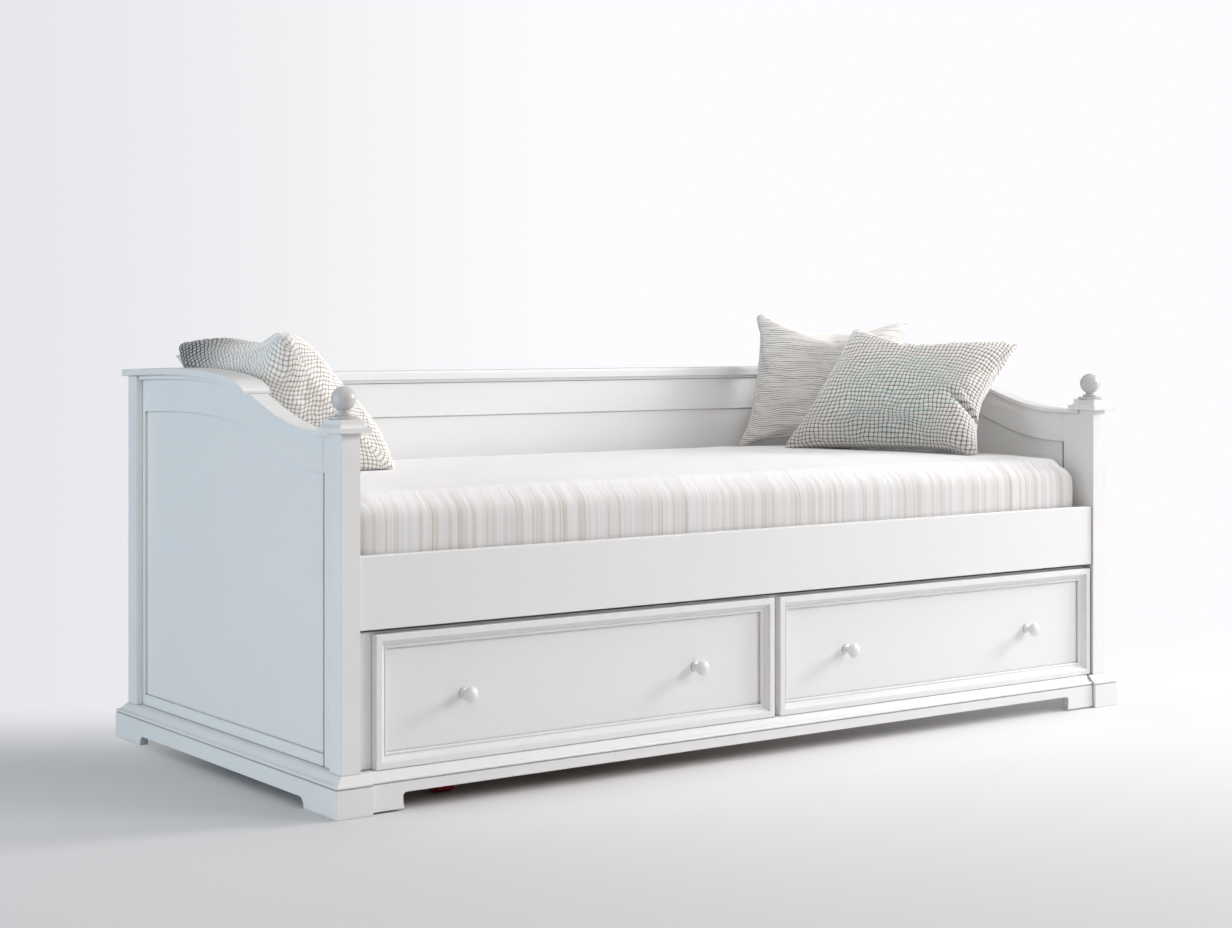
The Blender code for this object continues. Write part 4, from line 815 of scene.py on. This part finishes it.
class PillowShape:
    """Front and back sheets of a pillow as grids of points, read from its CAD solid."""

    def __init__(self, node, cells):
        self.mesh = cad_mesh(node)
        self.points = points_of(self.mesh)
        self.middle = self.points.mean(axis=0)
        axes = np.linalg.svd(self.points - self.middle, full_matrices=False)[2]
        self.facing = axes[2] * (1 if axes[2][1] < 0 else -1)
        up = np.array((0.0, 0.0, 1.0)) - self.facing * self.facing[2]
        self.up = up / np.linalg.norm(up)
        self.right = np.cross(self.up, self.facing)
        self.sheets = self.find_sheets(self.find_rim(cells), cells)

    def find_corners(self):
        """The corners: lower left, lower right, upper right and upper left."""
        across = (self.points - self.middle) @ self.right
        upward = (self.points - self.middle) @ self.up
        return [self.points[np.argmax(right * across + up * upward)]
                for right, up in ((-1, -1), (1, -1), (1, 1), (-1, 1))]

    def find_rim(self, cells):
        """The four seams: bottom, right, top and left, each from its left or lower end."""
        corners = self.find_corners()
        edges = np.array([edge.vertices[:] for edge in self.mesh.edges])
        starts, stops = self.points[edges[:, 0]], self.points[edges[:, 1]]
        rim = []
        for first, last in ((0, 1), (1, 2), (3, 2), (0, 3)):
            line = corners[last] - corners[first]
            outward = np.cross(line, self.facing)
            if (corners[first] - self.middle) @ outward < 0:
                outward = -outward
            seam = [corners[first]]
            for share in np.linspace(0, 1, cells + 1)[1:-1]:
                level = (corners[first] + share * line) @ line
                before, after = starts @ line - level, stops @ line - level
                crossing = before * after < 0
                cut = (before / (before - after + LEVEL_NUDGE))[crossing, None]
                found = starts[crossing] * (1 - cut) + stops[crossing] * cut
                seam.append(found[np.argmax(found @ outward)])
            seam.append(corners[last])
            rim.append(np.array(seam))
        return rim

    def find_sheets(self, rim, cells):
        """Front and back points on the lines through a sheet spanned between the seams."""
        bottom, right, top, left = rim
        share = np.linspace(0, 1, cells + 1)
        u, v = share[:, None, None], share[None, :, None]
        between = bottom[:, None] * (1 - v) + top[:, None] * v
        between = between + left[None, :] * (1 - u) + right[None, :] * u
        corners = ((1 - u) * (1 - v) * bottom[0] + u * (1 - v) * bottom[-1]
                   + (1 - u) * v * top[0] + u * v * top[-1])
        middle = between - corners
        sheets = np.stack((middle, middle))
        surface = surface_of(self.mesh)
        for side, direction in enumerate((self.facing, -self.facing)):
            toward = Vector(-direction)
            for i in range(1, cells):
                for j in range(1, cells):
                    start = Vector(middle[i, j] + direction * RAY_REACH)
                    hit = surface.ray_cast(start, toward)[0]
                    if hit is None:
                        hit = surface.find_nearest(Vector(middle[i, j]))[0]
                    sheets[side, i, j] = hit
        return np.stack([evenly_spaced(sheet) for sheet in sheets])


def row_lengths(sheet):
    """Distances along each row of a grid of points, from its first point."""
    steps = np.linalg.norm(np.diff(sheet, axis=0), axis=-1)
    return np.concatenate((np.zeros((1, sheet.shape[1])), np.cumsum(steps, axis=0)))


def evenly_spaced(sheet, rounds=4):
    """Slide the points of a grid along its rows and columns until they are evenly spaced."""
    for _ in range(rounds):
        for _ in range(2):
            lengths = row_lengths(sheet)
            places = np.linspace(0, 1, len(sheet))
            sheet = np.stack([
                np.stack([np.interp(places * lengths[-1, column], lengths[:, column],
                                    sheet[:, column, axis]) for axis in range(3)], axis=-1)
                for column in range(sheet.shape[1])], axis=1)
            sheet = sheet.transpose(1, 0, 2)
    return sheet


def seamed_mesh(sheets):
    """Points and faces of two sheets that share their rim, and where each grid point went."""
    rows, columns = sheets.shape[1:3]
    numbers = np.arange(2 * rows * columns).reshape(2, rows, columns)
    inner = np.zeros((rows, columns), bool)
    inner[1:-1, 1:-1] = True
    numbers[1][~inner] = numbers[0][~inner]
    front = grid_faces(rows, columns)
    back = grid_faces(rows, columns, rows * columns, flip=True)
    lookup = np.arange(2 * rows * columns)
    lookup[rows * columns:] = numbers[1].ravel()
    faces = np.concatenate((lookup[front], lookup[back]))
    used, packed = np.unique(faces, return_inverse=True)
    points = sheets.reshape(-1, 3)[used]
    places = np.searchsorted(used, numbers)
    return points, packed.reshape(-1, 4), places


def inflate(name, sheets):
    """Let cloth with some slack settle under pressure, with its corners held."""
    points, faces, places = seamed_mesh(sheets)
    piece = mesh_piece(name, points, faces.tolist(), None)
    corners = piece.vertex_groups.new(name="corners")
    corners.add([int(places[0, i, j]) for i in (0, -1) for j in (0, -1)], 1.0, "REPLACE")
    cloth = piece.modifiers.new("cloth", "CLOTH")
    for setting, value in CLOTH.items():
        setattr(cloth.settings, setting, value)
    cloth.settings.effector_weights.gravity = 0.0
    cloth.collision_settings.use_collision = False
    cloth.point_cache.frame_start = 1
    cloth.point_cache.frame_end = SETTLING_FRAMES
    for number in range(1, SETTLING_FRAMES + 1):
        bpy.context.scene.frame_set(number)
    depsgraph = bpy.context.evaluated_depsgraph_get()
    step = points_of(piece.evaluated_get(depsgraph).data) - points
    bpy.data.objects.remove(piece)
    bpy.context.scene.frame_set(1)
    length = np.linalg.norm(step, axis=1, keepdims=True)
    step *= np.minimum(1.0, MOST_SETTLING / np.maximum(length, TINY))
    return (points + step)[places]


def sheet_normals(sheet, outward):
    """Unit normals of a grid of points, towards one side."""
    normals = np.cross(np.gradient(sheet, axis=0), np.gradient(sheet, axis=1))
    normals /= np.maximum(np.linalg.norm(normals, axis=-1, keepdims=True), TINY)
    if (normals[1:-1, 1:-1] @ outward).mean() < 0:
        normals = -normals
    return normals


def rim_fade(shape, steps):
    """0 on the rim of a grid, rising to 1 over some steps."""
    lines = [np.minimum(np.arange(count), np.arange(count)[::-1]) for count in shape]
    share = np.clip(np.minimum(lines[0][:, None], lines[1][None, :]) / steps, 0.0, 1.0)
    return share * share * (3 - 2 * share)


# Exponents that make puffs and ripples fuller than a sine wave
PUFF_FULLNESS = 0.75
RIPPLE_FULLNESS = 0.7
# Least and most height of a puff, as a share, and after how many puffs the heights come again
PUFF_SHARES = (0.6, 1.2)
PUFF_REPEAT = 128
# Keeps a place on the line between two cells in the upper one
NUDGE = 1e-6
# Bumps each way in the depth of the ripples, and that depth's mean and swing
RIPPLE_BUMPS = (9, 60)
RIPPLE_DEPTH = (0.75, 0.5)
# Height and bumps each way of the plain cloth's broad and fine creases
PLAIN_CREASES = ((0.0012, (9, 12)), (0.0005, (26, 22)))
# How far cells wander from one to the next and over the whole cloth, and bumps of the latter
SMALL_SWING = 0.16
LARGE_SWING = 0.60
LARGE_BUMPS = (7, 7)


def net_relief(places, size, settings, seed):
    """Puffs, one to a cell, with a valley along every thread of the net."""
    rise = np.abs(np.sin(np.pi * places)) ** PUFF_FULLNESS
    numbers = np.floor(places + NUDGE).astype(int) % PUFF_REPEAT
    swell = np.random.default_rng(seed).uniform(*PUFF_SHARES, (PUFF_REPEAT, PUFF_REPEAT))
    return settings.puff_height * rise[..., 0] * rise[..., 1] * swell[tuple(numbers.T)].T


def ribbed_relief(places, size, settings, seed):
    """Ripples that run across the cloth, unevenly deep."""
    rise = np.abs(np.sin(np.pi * places[..., 1])) ** RIPPLE_FULLNESS
    mean, swing = RIPPLE_DEPTH
    return settings.ripple_height * rise * (mean + swing * ripples(size, RIPPLE_BUMPS, seed))


def plain_relief(places, size, settings, seed):
    """Soft, shallow creases."""
    return sum(height * ripples(size, bumps, seed + step)
               for step, (height, bumps) in enumerate(PLAIN_CREASES))


# Steps from one slanting thread to the next, as a share of the steps to a cell, and cells that
# keep the slanting cloth's places above zero
SLANT_SHARE = 1.5
SLANT_CELLS = 60


def cell_places(size, per_cell, slanting):
    """Places in the cloth's own cells, which run along the seams or slant across them."""
    rows, columns = np.meshgrid(np.arange(size[0]), np.arange(size[1]), indexing="ij")
    if slanting:
        period = SLANT_SHARE * per_cell[0]
        above_zero = SLANT_CELLS * period
        return np.stack((rows + columns, rows - columns + above_zero), axis=-1) / period
    return np.stack((rows / per_cell[0], columns / per_cell[1]), axis=-1)


def wandering(size, counts, waver, seed):
    """How far the cells wander along each side, as a share of it, in small and large swings."""
    small = (counts[0] // 2, counts[1] // 2)
    return [(SMALL_SWING * ripples(size, small, seed + step)
             + LARGE_SWING * ripples(size, LARGE_BUMPS, seed + step + 2))
            * waver[step] / counts[step] for step in (0, 1)]


def pillow(name, cloth, relief, pitch, settings, neighbours):
    """One pillow: its CAD shape, settled as cloth, refined and given the cloth's own relief."""
    plan = PILLOWS[name]
    node, per_cell, seed = plan["node"], plan["per_cell"], plan["seed"]
    shape = PillowShape(node, round(settings.side / settings.simulation_cell))
    sheets = pulled(shape.sheets, plan.get("pulls", ()))
    counts = tuple(round(cloth_length(sheets, axis) / cell) for axis, cell in enumerate(pitch))
    sheets = inflate(name + "_cloth", sheets)
    if "fold" in plan:
        sheets = creased(sheets, shape.facing, *plan["fold"])
    size = tuple(count * steps + 1 for count, steps in zip(counts, per_cell))
    along, across = grid_places(size)
    fade = rim_fade(size, 2 * max(per_cell))
    shifts = wandering(size, counts, plan["waver"], seed)
    fine = np.stack([smooth_sample(sheet, along + shifts[0] * fade, across + shifts[1] * fade)
                     for sheet in sheets])
    places = cell_places(size, per_cell, plan.get("slanting"))
    height = relief(places, size, settings, seed) * rim_fade(size, max(per_cell))
    for side, direction in enumerate((shape.facing, -shape.facing)):
        fine[side] += sheet_normals(fine[side], direction) * height[..., None]
    points, faces, numbers = seamed_mesh(fine)
    for neighbour in neighbours:
        if isinstance(neighbour, tuple):
            stay_behind(points, *neighbour)
        else:
            clear_of(points, neighbour)
    piece = mesh_piece(name, points, faces.tolist(), cloth)
    give_map(piece, "cells", places, numbers, faces)
    give_map(piece, "sheet", np.stack((along, across), axis=-1), numbers, faces)
    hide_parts(node)
    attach(piece, "bed_frame")
    return surface_of(piece.data), shape.facing * (-1 if shape.facing[2] < 0 else 1)


def give_map(piece, name, places, numbers, faces):
    """A UV map from places on the grid of a pillow's sheets."""
    layer = piece.data.uv_layers.new(name=name)
    values = np.zeros((len(piece.data.vertices), 2))
    for side in (1, 0):
        values[numbers[side].ravel()] = places.reshape(-1, 2)
    layer.uv.foreach_set("vector", values[np.ravel(faces)].ravel().astype(np.float32))


def cloth_length(sheets, axis):
    """Mean length of the front sheet's rows one way."""
    return np.linalg.norm(np.diff(sheets[0], axis=axis), axis=-1).sum(axis=axis).mean()


def pulled(sheets, pulls):
    """Move the cloth around some places, most at the place itself."""
    moved = sheets.copy()
    for place, reach, shift in pulls:
        distance = np.linalg.norm(sheets - np.array(place), axis=-1, keepdims=True)
        moved += np.exp(-(distance / reach) ** 2) * np.array(shift)
    return moved


# Share of a fold's depth that is left at its two ends
FOLD_END_SHARE = 0.25


def creased(sheets, facing, start, stop, depth, width):
    """Press a pinched fold into the front sheet between two places of its grid."""
    along, across = grid_places(sheets.shape[1:3])
    line = np.array(stop) - np.array(start)
    share = ((along - start[0]) * line[0] + (across - start[1]) * line[1]) / (line @ line)
    share = np.clip(share, 0.0, 1.0)
    distance = np.hypot(along - start[0] - share * line[0], across - start[1] - share * line[1])
    swell = FOLD_END_SHARE + (1 - FOLD_END_SHARE) * np.sin(np.pi * share)
    press = depth * swell * np.exp(-(distance / width) ** 2)
    pressed = sheets.copy()
    pressed[0] -= facing * press[..., None]
    return pressed


# Turned pieces

TURNED_SIDES = 72
# Edges sharper than this stay sharp
SHARP_ANGLE = math.radians(38)
# Points nearer than this to a plane lie on it
ON_PLANE = 1e-5


def turned_outline(node, axis):
    """Radius and height along the outline of a turned solid, from one end to the other."""
    mesh = cad_mesh(node)
    low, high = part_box(node)
    middle = (np.array(low) + np.array(high)) / 2
    first, second = [item for item in range(3) if item != axis]
    points = points_of(mesh) - middle
    radius = np.hypot(points[:, first], points[:, second])
    widest = points[radius.argmax()]
    turn = math.atan2(widest[second], widest[first])
    aside = points[:, first] * math.sin(turn) - points[:, second] * math.cos(turn)
    ahead = points[:, first] * math.cos(turn) + points[:, second] * math.sin(turn)
    near = (np.abs(aside) < ON_PLANE) & (ahead > -ON_PLANE)
    places, number = np.unique(np.round(np.stack((radius, points[:, axis]), axis=1)[near], 5),
                               axis=0, return_inverse=True)
    lookup = np.full(len(points), -1)
    lookup[near] = number.ravel()
    links = {index: set() for index in range(len(places))}
    for edge in mesh.edges:
        start, stop = lookup[edge.vertices[0]], lookup[edge.vertices[1]]
        if start >= 0 and stop >= 0 and start != stop:
            links[int(start)].add(int(stop))
            links[int(stop)].add(int(start))
    ends = [index for index, others in links.items() if len(others) == 1]
    order = [ends[0]]
    while len(order) == 1 or order[-1] not in ends:
        order.append(next(item for item in links[order[-1]] if item not in order))
    return places[order], middle


def turned_piece(node, axis, body, material):
    """A turned solid with many more sides than its CAD node."""
    outline, middle = turned_outline(node, axis)
    turns = np.linspace(0, 2 * math.pi, TURNED_SIDES, endpoint=False)
    points = np.zeros((len(outline), TURNED_SIDES, 3))
    first, second = [item for item in range(3) if item != axis]
    points[..., first] = outline[:, :1] * np.cos(turns)
    points[..., second] = outline[:, :1] * np.sin(turns)
    points[..., axis] = outline[:, 1:]
    closed = np.concatenate((points, points[:, :1]), axis=1)
    unique, lookup = np.unique(np.round(closed.reshape(-1, 3), 7), axis=0, return_inverse=True)
    faces = lookup.ravel()[grid_faces(len(outline), TURNED_SIDES + 1)]
    corners = [list(dict.fromkeys(face)) for face in faces.tolist()]
    piece = mesh_piece("turned_" + node, unique + middle,
                       [face for face in corners if len(face) > 2], material)
    close_ends(piece.data)
    piece.data.set_sharp_from_angle(angle=SHARP_ANGLE)
    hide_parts(node)
    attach(piece, body)


def close_ends(mesh):
    """Fill the flat ends of a turned piece and turn all its faces outward."""
    shape = bmesh.new()
    shape.from_mesh(mesh)
    edges = [edge for edge in shape.edges if edge.is_boundary]
    bmesh.ops.holes_fill(shape, edges=edges)
    bmesh.ops.recalc_face_normals(shape, faces=shape.faces)
    shape.to_mesh(mesh)
    shape.free()


# Operators

class DAYBED_OT_finishes(bpy.types.Operator):
    """Give every wooden and metal part its finish"""

    bl_idname = "daybed.finishes"
    bl_label = "Finishes"

    def execute(self, context):
        scene = context.scene
        settings = scene.daybed_paint
        paint = [paint_finish(settings, "lacquer_along_" + AXES[axis], axis, settings.colour)
                 for axis in range(3)]
        # Painted shadow line on each front post, beside the recess of its panel
        groove_shadow = (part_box("left_front_post")[1].y - GROOVE_SHADOW_WIDTH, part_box("left_top_rail")[0].z)
        post = paint_finish(settings, "post_lacquer_groove_shadow", 2, settings.colour, groove_shadow)
        wood = scene.daybed_wood
        slat = wood_finish("slat_pine", wood.slat_colour, wood.slat_grain, 1)
        ply = [wood_finish("box_birch_" + AXES[axis], wood.box_colour, wood.box_grain, axis)
               for axis in range(3)]
        steel = steel_finish(scene.daybed_hardware)
        tread = tread_finish(scene.daybed_hardware)
        for node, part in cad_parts.items():
            slot = part.data.materials[0].name
            finish = {"white_paint": paint[long_axis(node)], "slat_wood": slat,
                      "pale_plywood": ply[long_axis(node)], "steel": steel,
                      "red_tread": tread}.get(slot)
            if node.endswith("_front_post"):
                finish = post
            if finish:
                part.material_slots[0].material = finish
        return {"FINISHED"}


class DAYBED_OT_turned(bpy.types.Operator):
    """Make the finials and knobs"""

    bl_idname = "daybed.turned"
    bl_label = "Finials and knobs"

    def execute(self, context):
        settings = context.scene.daybed_paint
        # The finials' lacquer is painted darker, as painted shade
        finish = paint_finish(settings, "turned_lacquer_shaded", 2, settings.shaded_turned_colour)
        for side in ("left", "right"):
            turned_piece(side + "_finial", 2, "bed_frame", finish)
        finish = paint_finish(settings, "knob_lacquer", 1, settings.knob_colour)
        for number in range(1, 5):
            turned_piece(f"knob_{number}", 1, "drawer", finish)
        return {"FINISHED"}


class DAYBED_OT_mattress(bpy.types.Operator):
    """Make the mattress in its striped cover"""

    bl_idname = "daybed.mattress"
    bl_label = "Mattress"

    def execute(self, context):
        piece = mattress_piece(context.scene.daybed_mattress)
        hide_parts("mattress")
        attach(piece, "bed_frame")
        return {"FINISHED"}


def block_mesh(counts):
    """Points of a cube from -1 to 1, with so many faces along each axis, and its faces."""
    points, faces = [], []
    for axis in range(3):
        first, second = (axis + 1) % 3, (axis + 2) % 3
        for side in (-1, 1):
            one, two = grid_places((counts[first] + 1, counts[second] + 1), -1)
            grid = np.zeros(one.shape + (3,))
            grid[..., axis], grid[..., first], grid[..., second] = side, one, two
            faces.append(grid_faces(*one.shape, start=sum(len(item) for item in points),
                                    flip=side < 0))
            points.append(grid.reshape(-1, 3))
    unit, lookup = np.unique(np.round(np.concatenate(points), 7), axis=0, return_inverse=True)
    return unit, lookup.ravel()[np.concatenate(faces)]


# Shares of a dent in the middle of the top and on the sides
TOP_DENT_SHARE = 0.3
SIDE_DENT_SHARE = 0.8


def mattress_piece(settings):
    """Rounded block with a crowned top, drawn in upper edges and soft unevenness."""
    low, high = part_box("mattress")
    half = np.array(high - low) / 2
    unit, faces = block_mesh([max(4, round(2 * side / settings.cell)) for side in half])
    along, across, up = unit.T
    placed = round_block(unit, half - np.array((0, 0, settings.crown / 2)), settings)
    placed[:, 2] -= settings.crown / 2
    top_share = np.clip(up, 0, 1)
    uneven = uneven_edge(along, across, settings)
    placed[:, 2] += settings.crown * (1 - along ** 4) * (1 - across ** 4) * top_share
    dent = TOP_DENT_SHARE + (1 - TOP_DENT_SHARE) * across ** 2
    placed[:, 2] += uneven * top_share * dent
    narrower = settings.draw_in * top_share ** 4 - settings.bulge * (1 - up ** 2)
    for axis, share in ((0, along), (1, across)):
        inward = narrower - uneven * SIDE_DENT_SHARE
        placed[:, axis] -= np.sign(share) * np.abs(share) ** 3 * inward
    placed += np.array(low + high) / 2
    return mesh_piece("mattress_cover", placed, faces.tolist(), cover_finish(settings))


# Grid of the mattress's dents, and for broad and fine ones their share, bumps and seed
DENT_GRID = (201, 41)
DENTS = ((0.6, (17, 5), 71), (0.4, (46, 9), 72))


def uneven_edge(along, across, settings):
    """Soft dents and swellings of the cover, mostly along its upper edge."""
    grid = sum(share * ripples(DENT_GRID, bumps, seed) for share, bumps, seed in DENTS)
    return settings.unevenness * smooth_sample(grid, (along + 1) / 2, (across + 1) / 2)


def round_block(unit, half, settings):
    """Points of a unit cube moved onto a block with rounded edges."""
    placed = unit * half
    aside = np.full(len(unit), settings.side_edge)
    edge = np.where(unit[:, 2] > 0, settings.top_edge, settings.bottom_edge)
    reach = np.stack((aside, aside, edge), axis=1)
    core = half - reach
    nearest = np.clip(placed, -core, core)
    outward = (placed - nearest) / reach
    length = np.maximum(np.linalg.norm(outward, axis=1, keepdims=True), 1.0)
    return nearest + outward / length * reach


class DAYBED_OT_pillows(bpy.types.Operator):
    """Make the four pillows"""

    bl_idname = "daybed.pillows"
    bl_label = "Pillows"

    def execute(self, context):
        settings = context.scene.daybed_pillows
        bed = surface_of(cad_mesh("mattress"))
        back = surface_of_parts("back", "panel", "top_rail", "cap", "bottom_rail")
        left_side, right_side = [
            (bed, surface_of_parts(side, "top_rail", "cap", "panel", "back_post", "front_post"),
             back) for side in ("left", "right")]
        net = net_finish("netted_cloth_left", "pillow_net_left", settings, settings.light_net,
                         thread_share=0.5, tint_share=0.15, tip_shade=1.0, seed=3.0)
        front = pillow("netted_pillow_left", net, net_relief,
                       (settings.fine_cell, settings.fine_cell), settings, left_side)
        pillow("plain_pillow", plain_finish(settings), plain_relief,
               (settings.plain_cell, settings.plain_cell), settings, (*left_side, front[0]))
        net = net_finish("netted_cloth_right", "pillow_net_right", settings,
                         settings.net_colour, thread_share=1.0, tint_share=0.9, tip_shade=0.0,
                         seed=8.0)
        front = pillow("netted_pillow_right", net, net_relief,
                       (settings.net_cell, settings.net_cell), settings, right_side)
        pillow("crinkled_pillow", ribbed_finish(settings), ribbed_relief,
               (settings.ripple_length, settings.ripple_pitch), settings, (*right_side, front))
        return {"FINISHED"}


class DAYBED_OT_stage(bpy.types.Operator):
    """Make the floor, the lamps and the camera"""

    bl_idname = "daybed.stage"
    bl_label = "Stage"

    def execute(self, context):
        scene = context.scene
        settings = scene.daybed_stage
        scene.view_settings.view_transform = "Standard"
        make_floor(settings)
        make_world(scene, settings)
        make_lamps()
        make_camera(scene, settings)
        return {"FINISHED"}


def view_side(settings):
    """Direction to the right of the view."""
    return (math.cos(settings.camera_turn), -math.sin(settings.camera_turn), 0.0)


def backdrop(wiring, direction, settings):
    """Colour of the backdrop in a direction from the place of the photograph."""
    return wiring.group("Backdrop", Vector=direction, Aside=view_side(settings),
                        Left=settings.backdrop_left,
                        Right=settings.backdrop_right)["Colour"]


def mix_shaders(wiring, share, first, second):
    return wiring.node("ShaderNodeMixShader", None,
                       (share, first.outputs[0], second.outputs[0])).outputs[0]


FLOOR_HALF = 40.0
# Painted light: distances ahead between which the floor is painted paler, then shares of the
# distance
# to the right: between the first two it is painted paler too, and between the others its far edge
# moves out
LIGHT_PALER_AHEAD = (3.0, 4.8)
LIGHT_PALER_ASIDE = (-0.12, 0.10)
EDGE_ASIDE = (-0.17, -0.05)


def make_floor(settings):
    """A wide floor that fades into the backdrop far from the bed, painted paler at the right as
    painted light.
    """
    corners = FLOOR_HALF * np.array(((-1, -1, 0), (1, -1, 0), (1, 1, 0), (-1, 1, 0)))
    finish = Finish("pale_floor", 0.8)
    wiring = finish.wiring
    ahead = (math.sin(settings.camera_turn), math.cos(settings.camera_turn), 0.0)
    outward = wiring.vector("SUBTRACT", finish.place, tuple(settings.camera_place))
    depth = wiring.vector("DOT_PRODUCT", outward, ahead)
    side = wiring.math("DIVIDE", wiring.vector("DOT_PRODUCT", outward, view_side(settings)),
                       depth)
    # Painted light: paler away from the camera on the right; and the floor is gone sooner on the
    # left
    light_lift = wiring.times(wiring.spread(depth, *LIGHT_PALER_AHEAD, 0.0, settings.floor_light_lift),
                        wiring.spread(side, *LIGHT_PALER_ASIDE))
    colour = wiring.vector("MULTIPLY", tuple(settings.floor_colour), wiring.plus(light_lift, 1.0))
    finish.shade({"Base Color": colour, "Specular IOR Level": 0.1})
    end = wiring.spread(side, *EDGE_ASIDE, settings.fade_end_left, settings.fade_end)
    far = wiring.spread(wiring.vector("LENGTH", finish.place), settings.far_start,
                        settings.far_end)
    away = wiring.larger(wiring.spread(depth, settings.fade_start, end), far)
    seen = wiring.node("ShaderNodeLightPath").outputs["Is Camera Ray"]
    glow = wiring.node("ShaderNodeEmission", Color=backdrop(wiring, outward, settings))
    output = finish.material.node_tree.nodes["Material Output"]
    wiring.feed(output.inputs["Surface"],
                mix_shaders(wiring, wiring.times(away, seen), finish.shader, glow))
    mesh_piece("floor", corners, [[0, 1, 2, 3]], finish.material, smooth=False)


def make_world(scene, settings):
    """Even light from all round, and a plain backdrop where the camera looks past the bed."""
    scene.world = bpy.data.worlds.new("studio")
    scene.world.use_nodes = True
    tree = scene.world.node_tree
    wiring = Wiring(tree)
    light = tree.nodes["Background"]
    wiring.feed(light.inputs["Color"], settings.sky_colour)
    wiring.feed(light.inputs["Strength"], settings.sky_strength)
    direction = wiring.node("ShaderNodeTexCoord").outputs["Generated"]
    seen = wiring.node("ShaderNodeBackground", Color=backdrop(wiring, direction, settings),
                       Strength=1.0)
    rays = wiring.node("ShaderNodeLightPath").outputs
    shown = wiring.larger(rays["Is Camera Ray"], rays["Is Transmission Ray"])
    wiring.feed(tree.nodes["World Output"].inputs["Surface"],
                mix_shaders(wiring, shown, light, seen))


# Name, place, aim, width, power in watts and colour
LAMPS = (
    ("key_lamp", (4.8, -1.65, 2.4), (0.0, 0.0, 0.4), 1.7, 200.0, (1.0, 0.99, 0.995)),
    ("front_lamp", (3.4, -4.4, 2.8), (0.2, 0.0, 0.4), 2.4, 104.0, (1.0, 0.985, 1.0)),
    ("top_lamp", (0.3, -0.3, 4.6), (0.0, 0.0, 0.5), 3.6, 70.0, (1.0, 0.985, 0.975)),
    ("left_lamp", (-4.6, 0.3, 1.1), (-1.0, 0.0, 0.3), 2.0, 67.6, (0.72, 0.875, 1.0)),
    ("low_lamp", (-2.6, -4.6, 3.4), (0.3, 0.0, 0.5), 2.6, 51.0, (1.0, 0.95, 0.90)),
)


def make_lamps():
    for name, place, aim, size, power, colour in LAMPS:
        lamp = bpy.data.lights.new(name, "AREA")
        lamp.shape = "DISK"
        lamp.size = size
        lamp.energy = power
        lamp.color = colour
        holder = link(bpy.data.objects.new(name, lamp))
        holder.location = place
        toward = Vector(aim) - Vector(place)
        holder.rotation_euler = toward.to_track_quat("-Z", "Y").to_euler()


def make_camera(scene, settings):
    camera = link(bpy.data.objects.new("camera", bpy.data.cameras.new("camera")))
    camera.location = settings.camera_place
    camera.rotation_euler = (math.radians(90), 0.0, -settings.camera_turn)
    camera.data.sensor_width = settings.sensor_width
    camera.data.lens = FOCAL_PIXELS / IMAGE_WIDTH * settings.sensor_width
    camera.data.shift_y = -(IMAGE_HEIGHT / 2 - HORIZON_ROW) / IMAGE_WIDTH
    scene.camera = camera


class DAYBED_PT_panel(bpy.types.Panel):
    """The daybed's makers, in the order of use"""

    bl_idname = "DAYBED_PT_panel"
    bl_label = "Daybed"
    bl_space_type = "VIEW_3D"
    bl_region_type = "UI"
    bl_category = "Daybed"

    def draw(self, context):
        for maker in MAKERS:
            self.layout.operator(maker.bl_idname)


SETTINGS = {"daybed_paint": PaintSettings, "daybed_wood": WoodSettings,
            "daybed_hardware": HardwareSettings, "daybed_mattress": MattressSettings,
            "daybed_pillows": PillowSettings, "daybed_stage": StageSettings}
MAKERS = (DAYBED_OT_stage, DAYBED_OT_finishes, DAYBED_OT_turned, DAYBED_OT_mattress,
          DAYBED_OT_pillows)


def register():
    for made in (*SETTINGS.values(), *MAKERS, DAYBED_PT_panel):
        bpy.utils.register_class(made)
    for name, kind in SETTINGS.items():
        setattr(bpy.types.Scene, name, bpy.props.PointerProperty(type=kind))


def unregister():
    for name in SETTINGS:
        delattr(bpy.types.Scene, name)
    for made in reversed((*SETTINGS.values(), *MAKERS, DAYBED_PT_panel)):
        bpy.utils.unregister_class(made)


def main():
    register()
    make_groups()
    bpy.ops.daybed.stage()
    bpy.ops.daybed.finishes()
    bpy.ops.daybed.turned()
    bpy.ops.daybed.mattress()
    bpy.ops.daybed.pillows()
    bpy.context.view_layer.update()


if __name__ == "__main__":
    main()
